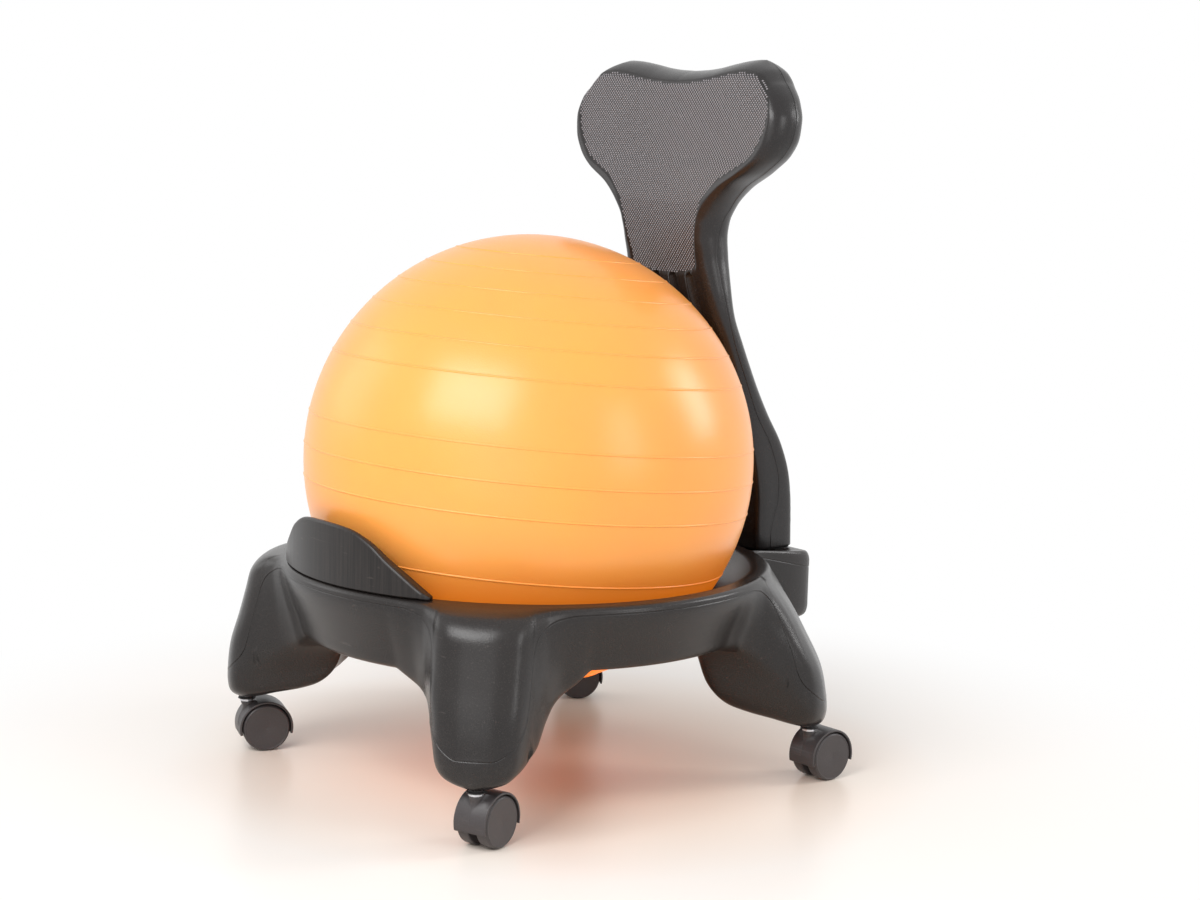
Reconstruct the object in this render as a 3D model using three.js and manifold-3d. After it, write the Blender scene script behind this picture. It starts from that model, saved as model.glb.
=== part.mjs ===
// Balance ball chair: an inflated ball held in a ring on four legs with twin-wheel casters,
// a tall backrest plugged into the back of the ring, and a low stopper on its front rim.
// Millimetres, +Z up, the floor at zero. The sitter faces -Y. Left and right are those of
// someone who stands in front of the chair and looks at it, so right is +X.
import * as THREE from "three";
import { mergeVertices } from "three/addons/utils/BufferGeometryUtils.js";
import Module from "manifold-3d";

// Fits that every piece shares
const seatGap = 0.3; // between faces that rest on each other
const boreGap = 0.3; // all round a pin in its hole
const runGap = 0.8; // between a turning piece and its neighbour
const cutOverrun = 6; // how far a cutter runs past the face that it opens

// Casters
const wheelR = 28;
const wheelWidth = 15;
const wheelEdgeR = 2;
const wheelCapWall = 3; // between the axle's end and the wheel's outer face
const webWidth = 9;
const hoodClearance = 1.5; // between the tread and the hood
const hoodWall = 2.5;
const hoodLipDrop = 8; // how far the hood's ends reach below the axle
const trail = 20.5;
const axleR = 2.5;
const neckR = 7.5;
const neckHeight = 26;
const spigotR = 3.2;
const spigotLength = 12;
const stemR = 5.5;
const stemLength = 36;
const stemTipR = 3.5;
const collarR = 8;
const collarHeight = 2.6;
const socketWall = 2.2;
const socketSpare = 6; // how far the sleeve is longer than the stem
const socketFlangeWidth = 2.5;
const socketFlangeHeight = 1.4;
const socketRecess = 0.6; // how deep the flange sits in the leg
const swivelGap = 2.5; // between the hood's top and the leg's underside
const frontCasterInset = 20.6; // from the leg's toe in to the stem
const rearCasterInset = 19.6;

// Base: ring, legs and rear socket, blow-moulded in one
const legHeight = 184.5; // from the leg's underside to the rim's top
const skirtHeight = 75;
const ballClearance = 2; // between the ball's girth and the rim's inner edge
const rimFlatWidth = 15;
const rimRoundWidth = 7;
const skirtInset = 29; // from the rim's outer edge in to the foot of the skirt
const frontLegReach = 71; // out from the rim to the toe
const rearLegReach = 70;
const toeHalfWidth = 50;
const rootHalfWidth = 66;
const flareHalfWidth = 117; // where a leg has run out into the skirt
const frontDrop = 8; // how much lower the skirt hangs between the front legs
const undersideWidth = 51; // from the skirt's foot in to the lip
const lipHeight = 18;
const baseWall = 5;
const ventR = 4;
const socketBossWall = 7;

// Rear socket of the base
const bossReach = 90; // out from the rim
const bossHeight = 85;
const bossStep = 12; // from the rim's top down to the boss's top
const bossHalfWidth = 84;
const bossFlare = 20;

// Ball
const ballR = 260;
const ballWall = 1.5;
const seatInset = 46; // from the ball's girth in to where it rests
const ballGap = 0.5; // under the ball, where the seat is faceted
const seatDrop = 32; // from the rim's top down to where the ball rests
const ballTiltSide = THREE.MathUtils.degToRad(0.6);
const ballTiltBack = THREE.MathUtils.degToRad(4.7);
const valveHoleR = 4.2;
const valveHeadR = 8;
const valveHeadHeight = 1.6;
const valvePlugLength = 13;
const valveLatitude = THREE.MathUtils.degToRad(16);

// Backrest
const backHeight = 593;
const wingHalfWidth = 195;
const footInset = 39; // from the boss's rear in to the middle of the foot
const footThickness = 59;
const lean = 126; // how far forward of the foot the lumbar comes
const bowDepth = 6;
const rollR = 16; // the rolled edge
const footCornerR = 13;
const wingTopDip = 12.5;
const backWall = 4;
const slotFloor = 4;
const slotPitch = 31;
const slotWidth = 13;
const slotLength = 98;
const slotDepth = 9;
const slotTopHeight = 342;
const tongueHalfWidth = 46;
const tongueThickness = 30;
const tongueCornerR = 6;
const tongueLength = 54;
const boltPitch = 52;
const boltR = 4;
const boltRecess = 10; // how deep the washers sit in the boss's underside
const boltHeadR = 6.5;
const boltHeadHeight = 5;
const boltKeyR = 2.9;
const boltKeyDepth = 3;
const washerR = 9;
const washerHeight = 1.6;
const insertR = 6;
const insertLength = 16;

// Front stopper
const stopperHeight = 68;
const stopperInset = 0.5; // from the rim's inner edge
const stopperThickness = 17;
const stopperTopThickness = 6;
const stopperBevel = 4;
const stopperHalfAngle = THREE.MathUtils.degToRad(31.5);
const stopperPegR = 4;
const stopperPegLength = 10;
const stopperPegAngle = THREE.MathUtils.degToRad(18);

// How finely round things are cut
const ballSides = 32;
const wheelSides = 18;
const pinSides = 12;
const boreSides = 24;
const keySides = 6;
const arcSteps = 9;
const stopperSteps = 10;

// Radii, heights and places that follow from the sizes above
const hoodR = wheelR + hoodClearance + hoodWall;
const socketR = stemR + boreGap + socketWall;
const socketFlangeR = socketR + socketFlangeWidth;
const socketLength = stemLength + socketSpare;
const rimInnerR = ballR + ballClearance;
const rimFlatR = rimInnerR + rimFlatWidth;
const rimOuterR = rimFlatR + rimRoundWidth;
const skirtR = rimOuterR - skirtInset;
const lipR = skirtR - undersideWidth;
const frontLegR = rimOuterR + frontLegReach;
const rearLegR = rimOuterR + rearLegReach;
const bossRearY = rimOuterR + bossReach;
const bossRootHalfWidth = bossHalfWidth + bossFlare;
const seatR = ballR - seatInset;
const footY = bossRearY - footInset;
const lumbarY = footY - lean;
const stopperInnerR = rimInnerR + stopperInset;
const stopperOuterR = stopperInnerR + stopperThickness;
const legZ = wheelR + hoodR + swivelGap;
const rimZ = legZ + legHeight;
const skirtZ = rimZ - skirtHeight;
const seatZ = rimZ - seatDrop;
const ballZ = seatZ + ballGap + Math.sqrt(ballR ** 2 - seatR ** 2);
const bossTopZ = rimZ - bossStep;
const bossZ = bossTopZ - bossHeight;
const footZ = bossTopZ + seatGap;
const tongueZ = footZ - tongueLength;
const stopperMiddleR = (stopperInnerR + stopperOuterR) / 2;
const weld = seatGap / 300;
const degree = Math.PI / 180;
const quarterTurn = Math.PI / 2;

const wasm = await Module();
wasm.setup();

const moulded = new THREE.MeshStandardMaterial({ color: 0x4a4546, roughness: 0.55 });
const stopperPlastic = new THREE.MeshStandardMaterial({ color: 0x332f30, roughness: 0.4 });
const casterPlastic = new THREE.MeshStandardMaterial({ color: 0x3d3b3c, roughness: 0.5 });
const inflated = new THREE.MeshStandardMaterial({ color: 0xf09a3c, roughness: 0.45 });
const plugPlastic = new THREE.MeshStandardMaterial({ color: 0xe8e2d6, roughness: 0.5 });
const zinc = new THREE.MeshStandardMaterial({ color: 0xc9c9cc, roughness: 0.3, metalness: 1 });
const brass = new THREE.MeshStandardMaterial({ color: 0xb8924a, roughness: 0.4, metalness: 1 });

const chair = new THREE.Group();
const assembly = new THREE.Group();
chair.add(assembly);

function addMesh(parent, name, geometry, material) {
  const mesh = new THREE.Mesh(geometry, material);
  mesh.name = name;
  parent.add(mesh);
  return mesh;
}

// A closed geometry as a solid that can be joined and cut, and back again.
function solid(geometry) {
  const loose = geometry.index ? geometry.toNonIndexed() : geometry;
  const bare = new THREE.BufferGeometry().setAttribute("position", loose.getAttribute("position"));
  const merged = mergeVertices(bare, weld);
  const vertProperties = merged.attributes.position.array;
  const triVerts = new Uint32Array(merged.index.array);
  return new wasm.Manifold(new wasm.Mesh({ numProp: 3, vertProperties, triVerts }));
}

function geometryOf(cut) {
  const { vertProperties, triVerts, numProp } = cut.getMesh();
  const geometry = new THREE.BufferGeometry();
  const places = new THREE.InterleavedBuffer(vertProperties, numProp);
  const position = new THREE.InterleavedBufferAttribute(places, 3, 0);
  const indexed = new THREE.BufferGeometry().setAttribute("position", position);
  indexed.setIndex(new THREE.BufferAttribute(triVerts, 1));
  geometry.copy(indexed.toNonIndexed());
  geometry.computeVertexNormals();
  return geometry;
}

// An upright round bar or disc from z = low to z = high.
function upright(radius, low, high, x = 0, y = 0, sides = pinSides) {
  const bar = new THREE.CylinderGeometry(radius, radius, high - low, sides);
  return bar.rotateX(quarterTurn).translate(x, y, (low + high) / 2);
}

// A turned piece: [radius, z] corners that start and end on the axis or close on themselves.
function turned(corners, sides) {
  const profile = corners.map(([r, z]) => new THREE.Vector2(r, z));
  return new THREE.LatheGeometry(profile, sides).rotateX(quarterTurn);
}

// A plate of a flat outline, from z = low to z = high.
function plate(shape, low, high, curveSegments = arcSteps) {
  const options = { depth: high - low, bevelEnabled: false, curveSegments };
  return new THREE.ExtrudeGeometry(shape, options).translate(0, 0, low);
}

function roundedBox(halfWidth, halfDepth, radius) {
  const shape = new THREE.Shape();
  const ends = [[1, 1, 0], [-1, 1, 1], [-1, -1, 2], [1, -1, 3]];
  for (const [sideX, sideY, turn] of ends) {
    const x = sideX * (halfWidth - radius);
    const y = sideY * (halfDepth - radius);
    shape.absarc(x, y, radius, turn * quarterTurn, (turn + 1) * quarterTurn);
  }
  return shape;
}

// Skin between loops of as many points each. An end strip joins a loop's two long sides;
// without ends the last loop meets the first.
function skin(loops, ends) {
  const count = loops[0].length;
  const points = loops.flat();
  const triangles = [];
  const quad = (a, b, c, d) => triangles.push(a, b, c, a, c, d);
  const last = ends ? loops.length - 1 : loops.length;
  for (let row = 0; row < last; row++) {
    const here = row * count;
    const next = ((row + 1) % loops.length) * count;
    for (let i = 0; i < count; i++) {
      const j = (i + 1) % count;
      quad(here + i, here + j, next + j, next + i);
    }
  }
  if (ends) {
    const top = (loops.length - 1) * count;
    for (let i = 0; i < count / 2; i++) {
      const [a, b] = [i, i + 1];
      const [c, d] = [(count - i - 1) % count, (count - i) % count];
      quad(d, c, b, a);
      quad(top + a, top + b, top + c, top + d);
    }
  }
  const flat = [];
  for (let i = 0; i < triangles.length; i += 3) {
    const corners = [points[triangles[i]], points[triangles[i + 1]], points[triangles[i + 2]]];
    const [a, b, c] = corners;
    if (a.distanceTo(b) < weld || b.distanceTo(c) < weld || c.distanceTo(a) < weld) continue;
    for (const corner of corners) flat.push(corner.x, corner.y, corner.z);
  }
  const position = new THREE.Float32BufferAttribute(flat, 3);
  return new THREE.BufferGeometry().setAttribute("position", position);
}

// Value of a table of [place, value, ...] rows at a place, in straight steps.
function between(table, place, column = 1) {
  const after = table.findIndex((row) => row[0] >= place);
  if (after < 0) return table[table.length - 1][column];
  if (after === 0) return table[0][column];
  const [low, high] = [table[after - 1], table[after]];
  const part = (place - low[0]) / (high[0] - low[0]);
  return low[column] + part * (high[column] - low[column]);
}

const smooth = (value) => {
  const t = THREE.MathUtils.clamp(value, 0, 1);
  return t * t * (3 - 2 * t);
};
const mix = THREE.MathUtils.lerp;

// Base. Each section through the ring's axis is one closed outline. Its outer side runs down
// from the rim to the foot of the skirt, a leg or the rear boss; the columns are the share of
// the way down, then the reach on the plain ring, a front leg, a rear leg and the boss, and
// the boss's own share of the way down, which keeps its top flat for the backrest's foot.
const outerShares = [
  [0, 0.79, 0.05, 0.02, 0.05, 0],
  [0.015, 0.89, 0.32, 0.08, 0.88, 0],
  [0.05, 0.98, 0.48, 0.12, 0.96, 0.03],
  [0.13, 1, 0.63, 0.25, 1, 0.13],
  [0.26, 0.91, 0.715, 0.455, 1, 0.26],
  [0.42, 0.75, 0.815, 0.665, 1, 0.42],
  [0.62, 0.54, 0.955, 0.9, 1, 0.65],
  [0.78, 0.38, 1, 0.985, 1, 0.78],
  [0.9, 0.27, 1, 1, 1, 0.84],
  [0.965, 0.18, 0.95, 0.94, 0.97, 0.95],
  [1, 0, 0.77, 0.77, 0.86, 1],
];
// Underside from the foot inward to the lip: share of the way in, then how much of the leg's
// and the boss's depth is left.
const underShares = [
  [0.1, 0.99, 1],
  [0.3, 0.93, 1],
  [0.52, 0.865, 1],
  [0.7, 0.78, 0.55],
  [0.83, 0.62, 0.15],
  [0.93, 0.27, 0],
];
// Share of the flare's half width, then the leg's depth left on its side towards the front or
// rear arch, and on its side towards the side arch.
const legDropShares = [
  [0, 1, 1],
  [0.22, 0.91, 0.93],
  [0.31, 0.81, 0.85],
  [0.35, 0.64, 0.81],
  [0.46, 0.4, 0.68],
  [0.54, 0.29, 0.47],
  [0.62, 0.21, 0.31],
  [0.71, 0.15, 0.22],
  [0.86, 0.07, 0.12],
  [1, 0, 0],
];
// How a leg's front draws back into the ring beside it.
const legSideShares = [
  [0, 1],
  [0.12, 0.96],
  [0.3, 0.8],
  [0.6, 0.48],
  [1, 0.2],
  [1.55, 0.06],
  [2.3, 0],
];

const legAngles = [45, 135, 225, 315];
const angleOf = (halfWidth, radius) => Math.asin(halfWidth / radius);
const reachFull = angleOf(toeHalfWidth, frontLegR) * 0.8;
const reachEnd = angleOf(rootHalfWidth, rimFlatR);
const flareEnd = angleOf(flareHalfWidth, rimOuterR);
const bossFull = angleOf(bossHalfWidth, bossRearY) * 0.95;
const bossEnd = angleOf(bossRootHalfWidth, rimOuterR);

function fromCentre(theta, centre) {
  const off = theta - centre;
  return Math.abs(Math.atan2(Math.sin(off), Math.cos(off)));
}
const polar = (theta, r, z) => new THREE.Vector3(r * Math.sin(theta), -r * Math.cos(theta), z);

function legDepth(theta, away) {
  const beside = Math.abs(Math.sin(theta)) > Math.abs(Math.cos(theta));
  const side = legDropShares.map(([share, arch, flank]) => [share, beside ? flank : arch]);
  return between(side, away / flareEnd) * (skirtZ - legZ);
}

function baseSection(theta) {
  const away = Math.min(...legAngles.map((angle) => fromCentre(theta, angle * degree)));
  const rear = Math.cos(theta) < 0;
  const aside = fromCentre(theta, Math.PI);
  const leg = between(legSideShares, (away - reachFull) / (reachEnd - reachFull));
  const boss = 1 - smooth((aside - bossFull) / (bossEnd - bossFull));
  const front = smooth((Math.PI / 4 - fromCentre(theta, 0)) / flareEnd);
  const archDepth = boss * (skirtZ - bossZ) + front * frontDrop;
  const topZ = rimZ - boss * bossStep;
  const legR = rear ? rearLegR : frontLegR;
  const bossR = bossRearY / Math.cos(Math.min(aside, bossFull));
  const outerR = ([, ring, frontLeg, rearLeg, rearBoss]) => {
    const plain = mix(skirtR, rimOuterR, ring);
    const onLeg = mix(rimFlatR, legR, rear ? rearLeg : frontLeg);
    return mix(mix(plain, onLeg, leg), mix(rimFlatR, bossR, rearBoss), boss);
  };
  const footR = outerR(outerShares[outerShares.length - 1]);
  const footRow = skirtZ - legDepth(theta, away) - archDepth;
  const outline = [[rimInnerR, rimZ], [rimFlatR, rimZ]];
  for (const row of outerShares) {
    outline.push([outerR(row), mix(topZ, footRow, mix(row[0], row[5], boss))]);
  }
  for (const [inward, onLeg, onArch] of underShares) {
    const r = mix(footR, lipR, inward);
    const beside = Math.asin(Math.min(1, (r / footR) * Math.sin(away)));
    outline.push([r, skirtZ - legDepth(theta, beside) * onLeg - archDepth * onArch]);
  }
  const lipZ = skirtZ + (seatZ - skirtZ) / 8;
  const bowlR = mix(seatR, rimInnerR, 0.55);
  outline.push([lipR, lipZ]);
  outline.push([lipR - lipHeight / 4, lipZ + lipHeight * 0.6]);
  outline.push([mix(lipR, seatR, 0.3), seatZ - lipHeight * 0.7]);
  outline.push([seatR, seatZ]);
  outline.push([bowlR, mix(seatZ, rimZ, 0.5)]);
  outline.push([rimInnerR - seatDrop / 12, rimZ - seatDrop / 16]);
  return outline;
}

// Sections stand close together on the sides of the legs and of the boss.
const legStepShares = [0, 0.25, 0.31, 0.36, 0.45, 0.58, 0.75, 1, 1.3, 1.6];
const bossStepShares = [0, 0.5, 0.62, 0.75, 0.88, 1, 1.18];
function baseAngles(legSteps, bossSteps) {
  const angles = [0, quarterTurn, -quarterTurn];
  for (const angle of legAngles) {
    for (const side of [-1, 1]) {
      for (const step of legSteps) {
        const theta = angle * degree + side * step * flareEnd;
        if (fromCentre(theta, Math.PI) > bossEnd * 1.25) angles.push(theta);
      }
    }
  }
  for (const step of bossSteps) {
    angles.push(Math.PI - step * bossEnd, Math.PI + step * bossEnd);
  }
  const round = angles.map((theta) => (theta + 4 * Math.PI) % (2 * Math.PI));
  round.sort((a, b) => a - b);
  return round.filter((theta, i) => i === 0 || theta - round[i - 1] > degree / 10);
}

const baseLoop = (theta) => baseSection(theta).map(([r, z]) => polar(theta, r, z));
const baseSkin = skin(baseAngles(legStepShares, bossStepShares).map(baseLoop), false);

// The hollow inside follows fewer sections, each drawn in from the outer one towards its middle.
const hollowInset = baseWall * 1.6;
function hollowSection(theta) {
  const outline = baseSection(theta).filter((_, i) => i % 2 === 0);
  const middle = new THREE.Box2().setFromPoints(outline.map(([r, z]) => new THREE.Vector2(r, z)));
  const centre = middle.getCenter(new THREE.Vector2());
  return outline.map(([r, z]) => {
    const spoke = new THREE.Vector2(r, z).sub(centre);
    spoke.setLength(spoke.length() - hollowInset).add(centre);
    return polar(theta, spoke.x, spoke.y);
  });
}
const hollowStepShares = [0, 0.28, 0.37, 0.45, 0.56, 0.73, 1.2];
const hollowBossShares = [0, 0.56, 0.77, 0.88, 1, 1.18];
const hollow = skin(baseAngles(hollowStepShares, hollowBossShares).map(hollowSection), false);

const frontStemR = frontLegR - frontCasterInset;
const rearStemR = rearLegR - rearCasterInset;
const casterPlaces = [
  { name: "front_right", angle: legAngles[0], out: frontStemR, heading: 107.9 },
  { name: "rear_right", angle: legAngles[1], out: rearStemR, heading: 90.6 },
  { name: "rear_left", angle: legAngles[2], out: rearStemR, heading: 58.4 },
  { name: "front_left", angle: legAngles[3], out: frontStemR, heading: 69.7 },
];

const socketTopZ = legZ + socketLength;
const flangeTopZ = legZ + socketRecess;
const pocketFloorZ = tongueZ - seatGap;
const boltHeadZ = bossZ + boltRecess;
const pocketHalfWidth = tongueHalfWidth + seatGap;
const pocketHalfDepth = tongueThickness / 2 + seatGap;

function makeBase() {
  let core = solid(hollow);
  for (const { angle, out } of casterPlaces) {
    const { x, y } = polar(angle * degree, out, 0);
    const boss = upright(socketR + socketBossWall, 0, socketTopZ + socketBossWall, x, y);
    core = core.subtract(solid(boss));
  }
  const block = roundedBox(pocketHalfWidth + baseWall, pocketHalfDepth + baseWall, tongueCornerR);
  core = core.subtract(solid(plate(block, 0, rimZ, 3).translate(0, footY, 0)));
  // A sliver cut off beside a socket stays solid.
  const room = core.decompose().reduce((a, b) => (a.volume() > b.volume() ? a : b));
  let base = solid(baseSkin).subtract(room);
  const cuts = [];
  const ventCircleR = (skirtR + lipR) / 2;
  for (const angle of [0, quarterTurn, -quarterTurn]) {
    const { x, y } = polar(angle, ventCircleR, 0);
    cuts.push(upright(ventR, skirtZ - cutOverrun, skirtZ + skirtHeight / 3, x, y));
  }
  for (const { angle, out } of casterPlaces) {
    const { x, y } = polar(angle * degree, out, 0);
    const low = legZ - cutOverrun;
    cuts.push(upright(socketR + boreGap, low, socketTopZ + seatGap, x, y, boreSides));
    cuts.push(upright(socketFlangeR + boreGap, low, flangeTopZ + seatGap, x, y, boreSides));
  }
  const pocket = roundedBox(pocketHalfWidth, pocketHalfDepth, tongueCornerR);
  cuts.push(plate(pocket, pocketFloorZ, bossTopZ + cutOverrun, 3).translate(0, footY, 0));
  for (const side of [-1, 1]) {
    const x = (side * boltPitch) / 2;
    cuts.push(upright(boltR + boreGap, boltHeadZ - seatGap, pocketFloorZ + cutOverrun, x, footY));
    cuts.push(upright(washerR + boreGap, bossZ - cutOverrun, boltHeadZ, x, footY));
    const peg = polar(side * stopperPegAngle, stopperMiddleR, 0);
    const pegHoleZ = rimZ - stopperPegLength;
    cuts.push(upright(stopperPegR + boreGap, pegHoleZ, rimZ + cutOverrun, peg.x, peg.y));
  }
  for (const cut of cuts) base = base.subtract(solid(cut));
  return geometryOf(base);
}
addMesh(assembly, "base_frame", makeBase(), moulded);

// Backrest. Rows from the foot up to the wings: share of the height, then half width, setback,
// thickness and bow as shares of the wings' half width, the lean, the foot and the bow.
const backRowShares = [
  [0, 0.328, 1, 1, 0],
  [0.092, 0.344, 0.967, 0.97, 0],
  [0.156, 0.364, 0.902, 0.95, 0.1],
  [0.221, 0.379, 0.787, 0.88, 0.4],
  [0.287, 0.395, 0.616, 0.75, 0.8],
  [0.362, 0.415, 0.44, 0.61, 0.95],
  [0.435, 0.425, 0.275, 0.57, 0.95],
  [0.493, 0.428, 0.15, 0.61, 0.5],
  [0.53, 0.425, 0.105, 0.67, 0.2],
  [0.573, 0.414, 0.072, 0.74, 0],
  [0.612, 0.405, 0.045, 0.8, 0],
  [0.646, 0.405, 0.02, 0.85, 0],
  [0.68, 0.421, 0.01, 0.9, 0],
  [0.714, 0.482, 0.01, 0.93, 0.1],
  [0.748, 0.593, 0.022, 0.95, 0.4],
  [0.782, 0.775, 0.034, 0.95, 0.8],
  [0.816, 0.9, 0.066, 0.93, 1],
];
// Rows above those rise to the wings' top line: share of the rise first, the rest as above.
const wingRowShares = [
  [0.2, 0.955, 0.084, 0.92, 1],
  [0.4, 0.968, 0.095, 0.9, 1],
  [0.6, 0.935, 0.112, 0.9, 0.9],
  [0.78, 0.865, 0.138, 0.9, 0.6],
  [0.9, 0.775, 0.178, 0.78, 0.4],
  [0.972, 0.69, 0.208, 0.46, 0.3],
  [0.997, 0.64, 0.225, 0.155, 0.3],
];
// The top line dips between two lobes: share of the half width, share of the dip.
const topLineShares = [
  [0, 1],
  [0.13, 0.92],
  [0.26, 0.72],
  [0.41, 0.33],
  [0.54, 0.06],
  [0.61, 0],
  [0.74, 0.24],
  [0.82, 0.8],
];

const wingsZ = footZ + backRowShares[backRowShares.length - 1][0] * backHeight;
const backTopZ = footZ + backHeight;
const topLine = (x) => backTopZ - between(topLineShares, Math.abs(x) / wingHalfWidth) * wingTopDip;

// The slots' floor is a plane, and the front bulges past it halfway up.
function frontAt(height) {
  const share = height / backHeight;
  const middle = lumbarY + between(backRowShares, share, 2) * lean;
  return middle - (between(backRowShares, share, 3) * footThickness) / 2;
}
const slotLowHeight = slotTopHeight - slotLength;
const slotMidHeight = (slotTopHeight + slotLowHeight) / 2;
const slotY = (frontAt(slotLowHeight) + frontAt(slotTopHeight)) / 2;
const slotBulge = Math.max(0, slotY - frontAt(slotMidHeight));
const slotWall = slotDepth + slotBulge + slotFloor;

// One closed row of the backrest: left tip, front side, right tip, back side.
function backRow(row, z, drawIn, roundSteps, midShares) {
  const [, width, setback, thickness, bow] = row;
  const frontWall = drawIn.front;
  const halfWidth = width * wingHalfWidth - drawIn.side;
  const half = (thickness * footThickness - frontWall - drawIn.side) / 2;
  const middleY = lumbarY + setback * lean + (frontWall - drawIn.side) / 2;
  const corner = mix(rollR, footCornerR, smooth((setback - 0.4) / 0.5));
  const squareness = mix(1, 0.5, smooth((setback - 0.4) / 0.5));
  const side = [];
  for (let i = 1; i <= roundSteps; i++) {
    const turn = (i / roundSteps) * quarterTurn;
    const x = halfWidth - corner + corner * Math.cos(turn) ** squareness;
    side.push([x, half * Math.sin(turn) ** squareness]);
  }
  for (const share of midShares) side.push([(halfWidth - corner) * share, half]);
  const mirrored = side.map(([x, y]) => [-x, y]);
  const acrossLeft = [...mirrored, ...(midShares.at(-1) === 0 ? side.slice(0, -1) : side).toReversed()];
  const place = (x, y) => {
    const u = x / halfWidth;
    return new THREE.Vector3(x, middleY + y + bow * bowDepth * (1 - u * u), z(x));
  };
  const front = acrossLeft.map(([x, y]) => place(x, -y));
  const back = acrossLeft.map(([x, y]) => place(x, y)).toReversed();
  return [place(-halfWidth, 0), ...front, place(halfWidth, 0), ...back];
}

// The hollow keeps its thicker front wall from half a slot below the slots to a quarter above.
function besideSlots(height) {
  return height > slotTopHeight - slotLength * 1.5 && height < slotTopHeight + slotLength / 4;
}

function backRows(drawIn, roundSteps, midShares, lowest, highest) {
  const rows = [];
  for (const row of backRowShares) {
    if (row[0] < lowest) continue;
    const height = row[0] * backHeight;
    const front = besideSlots(height) ? drawIn.slot : drawIn.front;
    const z = () => footZ + height;
    rows.push(backRow(row, z, { front, side: drawIn.side }, roundSteps, midShares));
  }
  for (const row of wingRowShares) {
    if (row[0] > highest) continue;
    const z = (x) => mix(wingsZ, topLine(x), row[0]);
    rows.push(backRow(row, z, drawIn, roundSteps, midShares));
  }
  return rows;
}

function makeBackrest() {
  const rows = backRows({ front: 0, side: 0, slot: 0 }, 4, [0.75, 0.5, 0.25, 0], 0, 1);
  const tongue = roundedBox(tongueHalfWidth, tongueThickness / 2, tongueCornerR);
  const tonguePlate = plate(tongue, tongueZ, footZ + cutOverrun, 3).translate(0, footY, 0);
  let back = solid(skin(rows, true)).add(solid(tonguePlate));
  const inner = { front: backWall, side: backWall, slot: slotWall };
  const hollowRows = backRows(inner, 2, [0.5, 0], 0.05, 0.8);
  back = back.subtract(solid(skin(hollowRows, true)));
  back = back.subtract(solid(upright(ventR, tongueZ - cutOverrun, footZ + 0.1 * backHeight, 0, footY)));
  for (const side of [-1, 1]) {
    const x = (side * boltPitch) / 2;
    const high = tongueZ + insertLength + seatGap;
    back = back.subtract(solid(upright(insertR + boreGap, tongueZ - cutOverrun, high, x, footY)));
  }
  const slope = Math.atan2(frontAt(slotLowHeight) - frontAt(slotTopHeight), slotLength);
  for (const place of [-1.5, -0.5, 0.5, 1.5]) {
    const outline = roundedBox(slotWidth / 2, slotLength / 2 / Math.cos(slope), slotWidth / 2 - weld);
    const cutter = plate(outline, -slotDepth, slotDepth * 2, 4);
    cutter.rotateX(quarterTurn).rotateX(slope);
    back = back.subtract(solid(cutter.translate(place * slotPitch, slotY, footZ + slotMidHeight)));
  }
  return geometryOf(back);
}
addMesh(assembly, "backrest", makeBackrest(), moulded);

// Bolts from below clamp the tongue through the boss's floor, each into a threaded insert.
function makeBolt() {
  const tipZ = tongueZ + insertLength - seatGap - boltHeadZ;
  const neckZ = washerHeight + seatGap;
  const headZ = -boltHeadHeight - seatGap;
  const head = [[0, headZ], [boltHeadR, headZ], [boltHeadR, -seatGap]];
  const shank = [[boltR, -seatGap], [boltR, tipZ], [0, tipZ]];
  const corners = [...head, ...shank].map(([r, z]) => [r, z - neckZ]);
  const key = upright(boltKeyR, -boltKeyDepth, boltKeyDepth, 0, 0, keySides);
  key.translate(0, 0, headZ - neckZ);
  return geometryOf(solid(turned(corners, pinSides)).subtract(solid(key)));
}
function makeWasher() {
  const inner = boltR + boreGap;
  const low = -washerHeight - seatGap;
  const top = [[washerR, -seatGap], [inner, -seatGap]];
  return turned([[inner, low], [washerR, low], ...top, [inner, low]], pinSides);
}
function makeInsert() {
  const inner = boltR + boreGap;
  const top = [[insertR, insertLength], [inner, insertLength]];
  return turned([[inner, 0], [insertR, 0], ...top, [inner, 0]], pinSides);
}
for (const [side, word] of [[-1, "left"], [1, "right"]]) {
  const x = (side * boltPitch) / 2;
  addMesh(assembly, `backrest_bolt_${word}`, makeBolt(), zinc).position.set(x, footY, boltHeadZ);
  addMesh(assembly, `backrest_washer_${word}`, makeWasher(), zinc).position.set(x, footY, boltHeadZ);
  addMesh(assembly, `backrest_insert_${word}`, makeInsert(), brass).position.set(x, footY, tongueZ);
}

// Front stopper: a crescent on the rim. Share of its half angle, share of its height.
const stopperTopShares = [
  [0, 1],
  [0.3, 0.96],
  [0.5, 0.8],
  [0.65, 0.57],
  [0.8, 0.35],
  [0.94, 0.13],
  [1, 0.05],
];
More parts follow.
